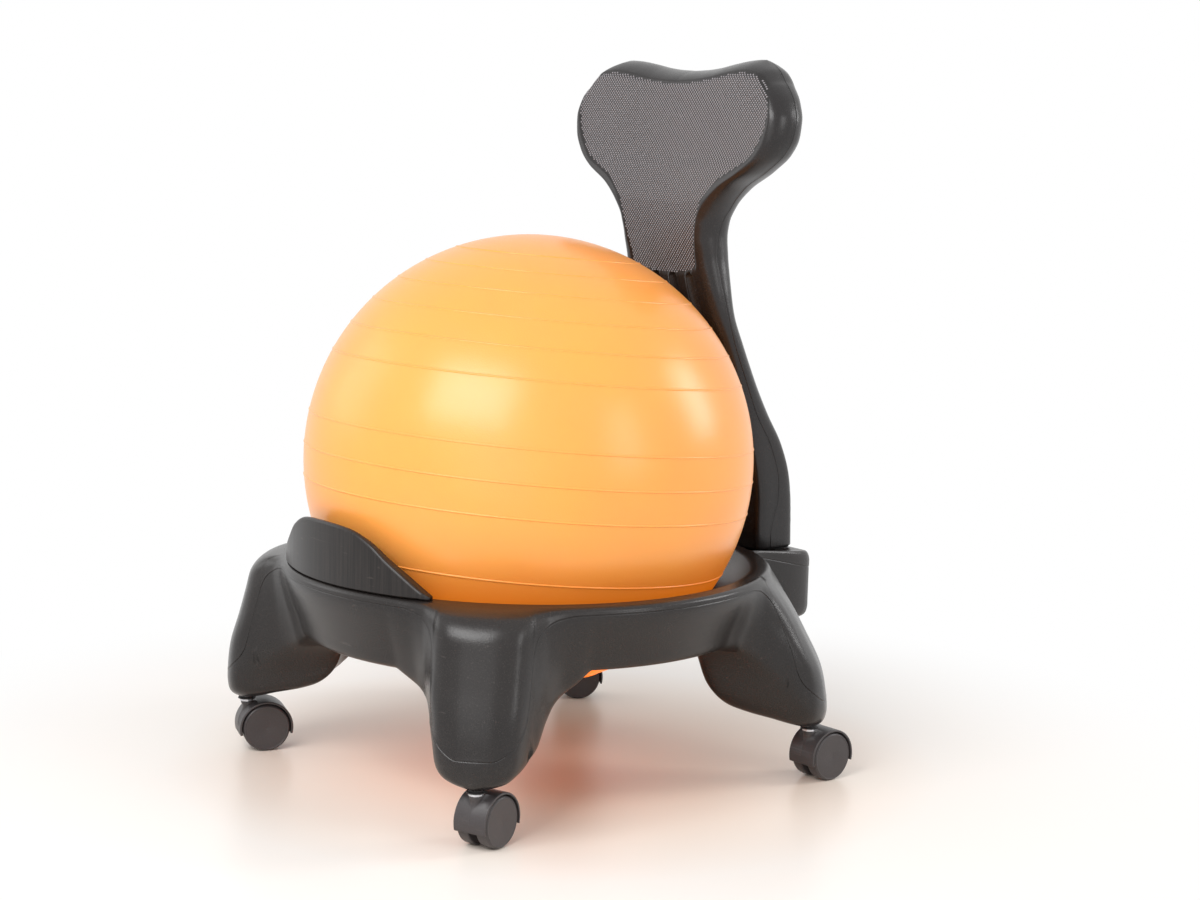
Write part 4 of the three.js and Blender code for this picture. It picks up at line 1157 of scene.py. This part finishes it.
def make_dots_group():
    group, start, end = geometry_group("panel_dots", [
        ("Surface", "NodeSocketObject", None),
        ("Material", "NodeSocketMaterial", None),
        ("Width", "NodeSocketFloat", 0.35),
        ("Height", "NodeSocketFloat", 0.24),
        ("Pitch", "NodeSocketFloat", 0.0032),
        ("Dot size", "NodeSocketFloat", 0.001),
        ("Margin", "NodeSocketFloat", 0.003),
        ("Centre", "NodeSocketVector", None),
    ])
    link, pitch = group.links.new, start.outputs["Pitch"]
    row_pitch = maths(group, "MULTIPLY", pitch, 0.5)
    columns = maths(group, "CEIL", maths(group, "DIVIDE", start.outputs["Width"], pitch), 0)
    rows = maths(group, "CEIL", maths(group, "DIVIDE", start.outputs["Height"], row_pitch), 0)
    grid = node(
        group, "GeometryNodeMeshGrid",
        Size_X=maths(group, "MULTIPLY", columns, pitch),
        Size_Y=maths(group, "MULTIPLY", rows, row_pitch),
        Vertices_X=maths(group, "ADD", columns, 1),
        Vertices_Y=maths(group, "ADD", rows, 1))
    place = group.nodes.new("GeometryNodeInputPosition")
    split = node(group, "ShaderNodeSeparateXYZ", Vector=place.outputs[0])
    row = maths(group, "ROUND", maths(group, "DIVIDE", split.outputs["Y"], row_pitch), 0)
    odd = maths(group, "FLOORED_MODULO", row, 2)
    offset = node(group, "ShaderNodeCombineXYZ", X=maths(group, "MULTIPLY", odd, row_pitch))
    staggered = node(
        group, "GeometryNodeSetPosition", Geometry=grid.outputs["Mesh"],
        Offset=offset.outputs[0])
    upended = node(
        group, "GeometryNodeTransform", Geometry=staggered.outputs[0],
        Translation=start.outputs["Centre"], Rotation=(math.pi / 2, 0, 0))
    target = node(group, "GeometryNodeObjectInfo", Object=start.outputs["Surface"])
    inside = node(
        group, "GeometryNodeInputNamedAttribute", data_type="FLOAT", Name="panel_depth")
    throw = node(
        group, "GeometryNodeRaycast", Target_Geometry=target.outputs["Geometry"],
        Attribute=inside.outputs[0], Ray_Direction=(0, 1, 0), Ray_Length=1.0)
    deep = node(group, "FunctionNodeCompare", operation="GREATER_THAN")
    link(throw.outputs["Attribute"], deep.inputs[0])
    link(start.outputs["Margin"], deep.inputs[1])
    landed = node(group, "FunctionNodeBooleanMath")
    link(throw.outputs["Is Hit"], landed.inputs[0])
    link(deep.outputs[0], landed.inputs[1])
    upright = node(
        group, "FunctionNodeAlignRotationToVector", axis="Z",
        Vector=throw.outputs["Hit Normal"])
    # What the throw found is stored before the points move, or it would be thrown anew.
    stored, found = upended.outputs[0], {}
    for label, kind, value in (
            ("landed", "BOOLEAN", landed.outputs[0]),
            ("dot_turn", "QUATERNION", upright.outputs[0])):
        stored = node(
            group, "GeometryNodeStoreNamedAttribute", data_type=kind, Name=label,
            Geometry=stored, Value=value).outputs[0]
        found[label] = node(
            group, "GeometryNodeInputNamedAttribute", data_type=kind, Name=label).outputs[0]
    on_panel = node(
        group, "GeometryNodeSetPosition", Geometry=stored,
        Position=throw.outputs["Hit Position"])
    dome = node(
        group, "GeometryNodeMeshUVSphere", Segments=6, Rings=4, Radius=start.outputs["Dot size"])
    flat = node(
        group, "GeometryNodeTransform", Geometry=dome.outputs["Mesh"], Scale=(1, 1, 0.55))
    dots = node(
        group, "GeometryNodeInstanceOnPoints", Points=on_panel.outputs[0],
        Selection=found["landed"], Instance=flat.outputs[0], Rotation=found["dot_turn"])
    finish_tree(group, dots.outputs[0], start, end)
    return group


def grown(name, group, values):
    """A plain mesh made by a geometry tree on an empty start."""
    obj = mesh_of(name, [], [])
    modifier = obj.modifiers.new(name, "NODES")
    modifier.node_group = group
    for item in group.interface.items_tree:
        if item.in_out == "INPUT" and item.name in values:
            modifier[item.identifier] = values[item.name]
    bpy.context.view_layer.update()
    baked(obj)
    obj.data.shade_smooth()
    return obj


# Painted highlight: the dots are coloured light grey to stand for the light that the little domes
# catch on the black panel.
dot_painted_highlight = plastic(
    "panel_dot", (136, 132, 136), (172, 168, 170), 0.35, 0.0009, 0.05, 0.2)
dots = grown("panel_dots", make_dots_group(), {
    "Surface": back,
    "Material": dot_painted_highlight,
    "Width": float(PANEL_MAX[0] - PANEL_MIN[0]) * MM,
    "Height": float(PANEL_MAX[1] - PANEL_MIN[1]) * MM,
    "Pitch": 4.5 * MM,
    "Dot size": 1.3 * MM,
    "Margin": PANEL_EDGE * 0.8 * MM,
    "Centre": (0.0, 0.0, float(PANEL_MAX[1] + PANEL_MIN[1]) / 2 * MM),
})
print("dots:", len(dots.data.polygons), "faces")
finish_backrest()
for piece in (back, dots):
    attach(piece, "base")
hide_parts("backrest")
print("backrest:", len(back.data.polygons), "faces")

# %% [markdown]
# ## Ball
#
# The ball is a plain sphere with raised rings round its axis, which leans a little to the back.
# The valve hole is cut where the CAD's plug sits. The rings repeat, so Geometry Nodes lays
# them: a point for each ring, a circle of the right size on each point, and one thin profile
# swept round all of them, so that every ring is equally thick.

# %% Skin of the ball
BALL_R, VALVE_R, VALVE_DEPTH = 259.6, 4.5, 16.0
BALL_CENTRE = Vector((0.0, AXIS_Y * MM, (BALL_TOP + BALL_BOTTOM) / 2))
LEAN_BACK, LEAN_SIDE = math.radians(4.7), math.radians(0.6)
ball_turn = Matrix.Rotation(-LEAN_BACK, 3, "X") @ Matrix.Rotation(LEAN_SIDE, 3, "Y")


def make_ball():
    around, levels = 224, 112
    turns = np.linspace(0, 2 * math.pi, around, endpoint=False)
    tilts = np.linspace(-math.pi / 2, math.pi / 2, levels + 1)[1:-1]
    rings = np.stack([
        np.outer(np.cos(tilts), np.cos(turns)),
        np.outer(np.cos(tilts), np.sin(turns)),
        np.outer(np.sin(tilts), np.ones(around)),
    ], axis=-1).reshape(-1, 3)
    points = np.vstack([rings, [[0, 0, -1], [0, 0, 1]]]) * BALL_R * MM
    points = points @ np.array(ball_turn).T + np.array(BALL_CENTRE)
    faces = [tuple(f) for f in sheet_faces(levels - 1, around)]
    bottom, top = len(rings), len(rings) + 1
    for i in range(around):
        onward = (i + 1) % around
        faces.append((bottom, onward, i))
        faces.append((top, bottom - around + i, bottom - around + onward))
    return tidy(mesh_of("ball_skin", points, faces, ball_finish))


ball = make_ball()
plug_low, plug_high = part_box("valve_plug")
plug_way = ((plug_low + plug_high) / 2 - BALL_CENTRE).normalized()


def cut_valve_hole():
    aim = Vector((0, 0, 1)).rotation_difference(plug_way).to_matrix().to_4x4()
    tool = bar(VALVE_R, BALL_R - VALVE_DEPTH, BALL_R + OVERRUN)
    combine(ball, [moved(tool, Matrix.Translation(BALL_CENTRE) @ aim)])


cut_valve_hole()
print("ball:", len(ball.data.polygons), "faces, plug towards", [round(v, 2) for v in plug_way])

# %% Rings of the ball
RIB_PITCH, RIB_TUBE, RIB_SINK = math.radians(8.25), 1.5, 0.7
RIBS_EACH_SIDE, RIB_GAP = 8, 2


def make_ribs_group():
    group, start, end = geometry_group("ball_ribs", [
        ("Material", "NodeSocketMaterial", None),
        ("Radius", "NodeSocketFloat", 0.26),
        ("Tube", "NodeSocketFloat", 0.0015),
        ("Pitch", "NodeSocketFloat", 0.144),
        ("Each side", "NodeSocketInt", 8),
        ("Left out", "NodeSocketInt", 2),
        ("Centre", "NodeSocketVector", None),
        ("Turn", "NodeSocketVector", None),
    ])
    link, radius, each_side = (
        group.links.new, start.outputs["Radius"], start.outputs["Each side"])
    line = node(
        group, "GeometryNodeMeshLine", Count=maths(group, "MULTIPLY_ADD", each_side, 2.0, 1.0))
    number = group.nodes.new("GeometryNodeInputIndex")
    place = maths(group, "SUBTRACT", number.outputs[0], each_side)
    latitude = maths(group, "MULTIPLY", place, start.outputs["Pitch"])
    ring = maths(group, "MULTIPLY", maths(group, "COSINE", latitude, 0), radius)
    level = maths(group, "MULTIPLY", maths(group, "SINE", latitude, 0), radius)
    height = node(group, "ShaderNodeCombineXYZ", Z=level)
    points = node(
        group, "GeometryNodeSetPosition", Geometry=line.outputs[0], Position=height.outputs[0])
    size = node(group, "ShaderNodeCombineXYZ", X=ring, Y=ring, Z=1.0)
    kept = node(group, "FunctionNodeCompare", operation="NOT_EQUAL", Epsilon=0.1)
    link(maths(group, "ABSOLUTE", place, 0), kept.inputs[0])
    link(start.outputs["Left out"], kept.inputs[1])
    circle = node(group, "GeometryNodeCurvePrimitiveCircle", Resolution=192, Radius=1.0)
    laid = node(
        group, "GeometryNodeInstanceOnPoints", Points=points.outputs[0],
        Selection=kept.outputs[0], Instance=circle.outputs[0], Scale=size.outputs[0])
    loose = node(group, "GeometryNodeRealizeInstances", Geometry=laid.outputs[0])
    profile = node(
        group, "GeometryNodeCurvePrimitiveCircle", Resolution=8, Radius=start.outputs["Tube"])
    swept = node(
        group, "GeometryNodeCurveToMesh", Curve=loose.outputs[0],
        Profile_Curve=profile.outputs[0])
    seated = node(
        group, "GeometryNodeTransform", Geometry=swept.outputs[0],
        Translation=start.outputs["Centre"], Rotation=start.outputs["Turn"])
    finish_tree(group, seated.outputs[0], start, end)
    return group


ribs = grown("ball_ribs", make_ribs_group(), {
    "Material": ball_finish,
    "Radius": (BALL_R - RIB_SINK) * MM,
    "Tube": RIB_TUBE * MM,
    "Pitch": RIB_PITCH,
    "Each side": RIBS_EACH_SIDE,
    "Left out": RIB_GAP,
    "Centre": tuple(BALL_CENTRE),
    "Turn": tuple(ball_turn.to_euler()),
})
tidy(ribs)
for piece in (ball, ribs):
    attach(piece, "ball")
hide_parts("ball")
print("ribs:", len(ribs.data.polygons), "faces")

# %% [markdown]
# ## Stopper
#
# The stopper is a crescent that stands on the rim and keeps the ball from rolling out. It is
# a loft again: the same section at each angle, tall in the middle and thin at the tips, with a
# bevel along its top and small rounds where the mould's corners were.

# %% Stopper
STOPPER_HEIGHT, STOPPER_HALF = 68.0, math.radians(31.5)
STOPPER_TOP_THICK, STOPPER_BEVEL = 6.0, 4.0
STOPPER_TOP = [
    (0, 1), (0.15, 0.992), (0.3, 0.96), (0.5, 0.8), (0.65, 0.57), (0.8, 0.35), (0.94, 0.13),
    (1, 0.05),
]
STOPPER_FOOT = [(0, 1), (0.8, 1), (0.94, 0.85), (1, 0.5)]


def soft_corners(corners, sizes, steps=5):
    """A closed outline of corners with each one rounded by its own size."""
    corners = np.asarray(corners, float)
    made = []
    for k, (corner, size) in enumerate(zip(corners, sizes)):
        for other, reverse in ((corners[k - 1], False), (corners[(k + 1) % len(corners)], True)):
            edge = other - corner
            length = float(np.hypot(*edge)) + 1e-9
            reach = corner + edge * min(0.45, size / length)
            if reverse:
                far = reach
            else:
                near = reach
        for t in np.linspace(0, 1, steps):
            made.append((1 - t) ** 2 * near + 2 * t * (1 - t) * corner + t * t * far)
    return np.array(made)


def stopper_section(theta):
    """A wedge: upright outside, an inner face that leans out to a narrow top."""
    along_half = abs(theta) / STOPPER_HALF
    rise = float(flow(STOPPER_TOP, along_half))
    half = float(np.interp(along_half, *zip(*STOPPER_FOOT))) * (STOPPER_OUT - STOPPER_IN) / 2
    low, height = RIM_Z + 0.3, rise * STOPPER_HEIGHT
    high = low + height
    outer, inner = STOPPER_MIDDLE_R + half, STOPPER_MIDDLE_R - half
    top = mix(inner, outer - min(half, STOPPER_TOP_THICK), rise)
    bevel = min(STOPPER_BEVEL, height / 3, (outer - top) / 2)
    corners = [
        (inner, low),
        (outer - bevel / 2, low),
        (outer, low + bevel / 2),
        (outer, high - bevel),
        (outer - bevel / 4, high - bevel / 3),
        (outer - bevel, high),
        (top + bevel / 4, high),
        (mix(inner, top, 0.95), mix(low, high, 0.95)),
    ]
    return soft_corners(corners, (0.8, 0.8, 0.8, 0.6, 0.8, 0.6, 1.0, 1.0))


def make_stopper():
    thetas = np.linspace(-STOPPER_HALF, STOPPER_HALF, 161)
    sections = np.array([stopper_section(theta) for theta in thetas])
    grid = round_ring(thetas, sections[..., 0], sections[..., 1])
    points, faces = in_metres(grid.reshape(-1, 3)), lidded(*grid.shape[:2])
    return tidy(mesh_of("stopper_crescent", points, faces, stopper_finish))


stopper = make_stopper()
peg_low, peg_high = RIM_Z - PEG_DEPTH + BORE_GAP, RIM_Z + OVERRUN / 2
combine(stopper, [bar(PEG_R, peg_low, peg_high, x, y) for x, y in PEG_PLACES], "UNION")
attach(stopper, "base")
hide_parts("front_stopper")
print("stopper:", len(stopper.data.polygons), "faces")

# %% [markdown]
# ## Casters
#
# Each caster has a hood over two wheels. The CAD says where the stem and the axle are, and
# that gives a caster's place and heading. One hood and one wheel are made lying at the origin,
# and a copy of the mesh is turned into place for each caster.

# %% One hood and one wheel
WHEEL_R, WHEEL_WIDTH, WEB_WIDTH, RUN_GAP = 28.0, 15.0, 9.0, 0.8
HOOD_R, HOOD_WALL, LIP_DROP, TRAIL = 32.0, 2.5, 8.0, 20.5
NECK_R, AXLE_R, SPIGOT_R, SPIGOT_LENGTH = 7.5, 2.5, 3.2, 12.0
HOOD_HALF = WEB_WIDTH / 2 + RUN_GAP + WHEEL_WIDTH
stem_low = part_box("front_right_stem")[0]
NECK_TOP = stem_low.z / MM + SPIGOT_LENGTH - BORE_GAP


def round_axle(profile, turns):
    """Points of a profile of (radius, across) at turns round the axle."""
    r, across = np.asarray(profile, float).T
    return np.stack([
        TRAIL + np.outer(np.cos(turns), r),
        np.broadcast_to(across, (len(turns), len(r))),
        WHEEL_R + np.outer(np.sin(turns), r),
    ], axis=-1)


def swept_arc(profile, start, stop, steps):
    """A closed band: a profile swept part of the way round the axle."""
    rows = round_axle(profile, np.linspace(start, stop, steps))
    return tidy(mesh_of("band", rows.reshape(-1, 3) * MM, lidded(*rows.shape[:2])), 1e-7)


def neck_of_hood():
    """The neck, a round at the top that runs out to a point down the hood's front."""
    turns = np.linspace(0, 2 * math.pi, 48, endpoint=False)
    rows = []
    for t in np.linspace(0, 1, 20):
        z = mix(NECK_TOP, 30.0, t)
        half = NECK_R * (1 - 0.86 * t * t)
        hood_x = TRAIL - math.sqrt(max(0.0, HOOD_R ** 2 - (z - WHEEL_R) ** 2))
        front = mix(-NECK_R, hood_x - 1.0 * (1 - t), smooth(t * 1.6))
        back = max(NECK_R, hood_x + 4.0)
        middle_x, reach = (front + back) / 2, (back - front) / 2
        x, y = middle_x + reach * np.cos(turns), half * np.sin(turns)
        rows.append(np.stack([x, y, np.full_like(x, z)], axis=1))
    faces = lidded(len(rows), len(turns))
    return tidy(mesh_of("neck", np.vstack(rows) * MM, faces), 1e-7)


def make_hood():
    lip = math.asin(LIP_DROP / HOOD_R)
    inner = HOOD_R - HOOD_WALL
    band = soft_corners(
        [(inner, -HOOD_HALF), (HOOD_R, -HOOD_HALF), (HOOD_R, HOOD_HALF), (inner, HOOD_HALF)],
        (0.4, 1.4, 1.4, 0.4), 4)
    hood = swept_arc(band, -lip, math.pi + lip, 64)
    web_r, half = HOOD_R - HOOD_WALL / 2, WEB_WIDTH / 2
    turns = np.linspace(-lip, math.pi + lip, 64)
    outline = [(TRAIL + web_r * math.cos(a), WHEEL_R + web_r * math.sin(a)) for a in turns]
    foot_z = WHEEL_R - HOOD_R * 0.45
    outline += [(TRAIL - NECK_R, foot_z), (TRAIL + NECK_R, foot_z)]
    points = [(x, y, z) for y in (-half, half) for x, z in outline]
    web = tidy(mesh_of("web", np.array(points) * MM, lidded(2, len(outline))), 1e-7)
    combine(hood, [web, neck_of_hood()], "UNION")
    spigot = bar(SPIGOT_R + BORE_GAP, NECK_TOP - SPIGOT_LENGTH, NECK_TOP + OVERRUN)
    stand = Matrix.Translation((TRAIL * MM, 0, WHEEL_R * MM))
    axle = bar(AXLE_R + BORE_GAP, -HOOD_HALF, HOOD_HALF)
    tools = [
        moved(spigot, Matrix.Identity(4)),
        moved(axle, stand @ Matrix.Rotation(math.pi / 2, 4, "X")),
    ]
    for side in (-1, 1):
        room = bar(WHEEL_R + RUN_GAP, WEB_WIDTH / 2, HOOD_HALF + OVERRUN, sides=96)
        tools.append(moved(room, stand @ Matrix.Rotation(side * math.pi / 2, 4, "X")))
    return combine(hood, tools)


def make_wheel():
    inner, outer = WEB_WIDTH / 2 + RUN_GAP, HOOD_HALF
    bore, bore_end = AXLE_R + BORE_GAP, outer - 3.0
    corners = [
        (0.02, bore_end), (bore, bore_end), (bore, inner), (WHEEL_R - 1, inner),
        (WHEEL_R, inner + 1), (WHEEL_R, outer - 2), (WHEEL_R - 2, outer), (WHEEL_R - 2.6, outer),
        (WHEEL_R - 3, outer - 0.35), (WHEEL_R - 3.6, outer - 0.35), (0.02, outer - 0.35),
    ]
    sizes = (0.01, 0.01, 0.2, 0.6, 0.6, 0.9, 0.9, 0.2, 0.2, 0.2, 0.01)
    profile = soft_corners(corners, sizes, 4)
    rows = round_axle(profile, np.linspace(0, 2 * math.pi, 96, endpoint=False))
    faces = sheet_faces(*rows.shape[:2], rows_close=True)
    return tidy(mesh_of("wheel", rows.reshape(-1, 3) * MM, faces), 1e-7)


hood_shape, wheel_shape = make_hood(), make_wheel()
print("hood:", len(hood_shape.data.polygons), "wheel:", len(wheel_shape.data.polygons), "faces")

# %% A hood and two wheels for each caster


def placed(shape, name, place, body, node_name):
    """A copy of the shape's mesh, moved into place, that stands for a CAD node."""
    mesh = shape.data.copy()
    mesh.transform(place)
    mesh.materials.clear()
    mesh.materials.append(caster_finish)
    if place.is_negative:
        mesh.flip_normals()
    obj = bpy.data.objects.new(name, mesh)
    mesh.name = name
    scene.collection.objects.link(obj)
    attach(obj, body)
    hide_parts(node_name)
    return obj


def caster_place(caster):
    stem, axle = (sum(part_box(f"{caster}_{piece}"), Vector()) / 2 for piece in ("stem", "axle"))
    heading = math.atan2(axle.y - stem.y, axle.x - stem.x)
    return Matrix.Translation((stem.x, stem.y, 0)) @ Matrix.Rotation(heading, 4, "Z")


FLIP = Matrix.Scale(-1, 4, (0, 1, 0))
for caster in CASTERS:
    place = caster_place(caster)
    placed(hood_shape, f"{caster}_hood_shell", place, f"{caster}_caster", f"{caster}_hood")
    for number, side in ((1, Matrix.Identity(4)), (2, FLIP)):
        wheel = f"{caster}_wheel_{number}"
        placed(wheel_shape, f"{wheel}_tyre", place @ side, wheel, wheel)
for shape in (hood_shape, wheel_shape):
    bpy.data.objects.remove(shape)
print("casters placed:", CASTERS)

# %% [markdown]
# The small turned pieces are good enough as the CAD made them, so they stay and only get their
# finishes: sockets, stems, axles, bolts, washers, inserts and the valve plug.

# %% Finishes of the pieces carried over from the CAD
CARRIED = {
    "_socket": socket_finish, "_stem": zinc_finish, "_axle": zinc_finish,
    "bolt": zinc_finish, "washer": zinc_finish, "insert": brass_finish,
    "valve_plug": plug_finish,
}
for name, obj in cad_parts.items():
    for part_of_name, finish in CARRIED.items():
        if part_of_name in name:
            obj.data.materials.clear()
            obj.data.materials.append(finish)
print("carried over:", [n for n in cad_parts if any(k in n for k in CARRIED)])

# %% [markdown]
# ## Studio
#
# The chair stood on a pale studio floor that burns out to white. A white world is seen by the
# camera and in reflections, and a weaker one lights the chair. The floor is a wide sheet whose
# colour fades to plain white away from the chair, so its edge never shows. Close to the chair
# it has a warm tint, from light that came through the ball.

# %% World and floor
FLOOR_NEAR, FLOOR_FAR, FLOOR_SIZE = 0.36, 0.9, 6.0
AMBIENT = 0.6


def make_world():
    world = bpy.data.worlds.new("studio")
    scene.world = world
    world.use_nodes = True
    tree = world.node_tree
    tree.nodes.clear()
    path = tree.nodes.new("ShaderNodeLightPath")
    seen = maths(tree, "MAXIMUM", path.outputs["Is Camera Ray"], path.outputs["Is Glossy Ray"])
    seen = maths(tree, "MAXIMUM", seen, path.outputs["Is Transmission Ray"])
    strength = node(tree, "ShaderNodeMapRange", To_Min=AMBIENT, To_Max=1.0, Value=seen)
    glow = node(
        tree, "ShaderNodeBackground", Color=(1, 1, 1, 1), Strength=strength.outputs[0])
    node(tree, "ShaderNodeOutputWorld", Surface=glow.outputs[0])


def make_floor_finish():
    material, tree, surface, place = new_finish("studio_floor")
    coat(tree, surface, {"Roughness": 0.32, "Specular IOR Level": 0.35})
    reach = node(tree, "ShaderNodeVectorMath", operation="LENGTH")
    tree.links.new(place, reach.inputs[0])
    # Painted light: the warm tint close to the chair stands for light that came through the ball;
    # farther out is the floor's own pale colour.
    floor_colour_and_painted_light = node(tree, "ShaderNodeValToRGB", Fac=reach.outputs["Value"])
    under, beyond = floor_colour_and_painted_light.color_ramp.elements
    under.color, under.position = linear(250, 220, 192), 0.12
    beyond.color, beyond.position = linear(248, 242, 236), 0.46
    coat(tree, surface, {"Base Color": floor_colour_and_painted_light.outputs["Color"]})
    fade = node(
        tree, "ShaderNodeMapRange", interpolation_type="SMOOTHSTEP", From_Min=FLOOR_NEAR,
        From_Max=FLOOR_FAR, Value=reach.outputs["Value"])
    path = tree.nodes.new("ShaderNodeLightPath")
    seen = maths(tree, "MAXIMUM", path.outputs["Is Camera Ray"], path.outputs["Is Glossy Ray"])
    share = maths(tree, "MULTIPLY", fade.outputs[0], seen)
    white = node(tree, "ShaderNodeEmission", Strength=1.0)
    both = tree.nodes.new("ShaderNodeMixShader")
    for socket, value in zip(both.inputs, (share, surface.outputs[0], white.outputs[0])):
        tree.links.new(value, socket)
    tree.links.new(both.outputs[0], tree.nodes["Material Output"].inputs["Surface"])
    return material


make_world()
corners = [(x * FLOOR_SIZE, y * FLOOR_SIZE, 0.0) for x, y in ((-1, -1), (1, -1), (1, 1), (-1, 1))]
floor = mesh_of("floor", corners, [(0, 1, 2, 3)], make_floor_finish())

# %% [markdown]
# Five soft boxes light the chair. The highlights on the ball show two: a large one in front and
# above, and a tall one behind on the right. A weaker one stands low beside the camera and keeps
# the ball's lower half bright. A broad one on the left shows as the soft sheen of the backrest's
# panel, and one on the right lights the edges of the post and the rear socket.

# %% Lights


def soft_box(name, azimuth, elevation, distance, width, height, power):
    light = bpy.data.lights.new(name, "AREA")
    light.shape = "RECTANGLE"
    light.size, light.size_y = width, height
    light.energy = power
    obj = bpy.data.objects.new(name, light)
    target = Vector((0.0, 0.0, 0.42))
    a, e = math.radians(azimuth), math.radians(elevation)
    way = Vector((math.sin(a) * math.cos(e), -math.cos(a) * math.cos(e), math.sin(e)))
    obj.location = target + way * distance
    obj.rotation_euler = way.to_track_quat("Z", "Y").to_euler()
    scene.collection.objects.link(obj)
    return obj


soft_box("key", 20, 34, 2.0, 1.4, 0.95, 29.0)
soft_box("side", 150, 20, 2.2, 0.6, 1.0, 13.0)
soft_box("fill", 36, 3, 2.6, 1.6, 1.2, 4.0)
soft_box("left", -52, 20, 2.6, 1.3, 1.3, 6.0)
soft_box("right", 100, 14, 2.4, 0.6, 1.2, 7.0)
scene.view_settings.view_transform = "Standard"
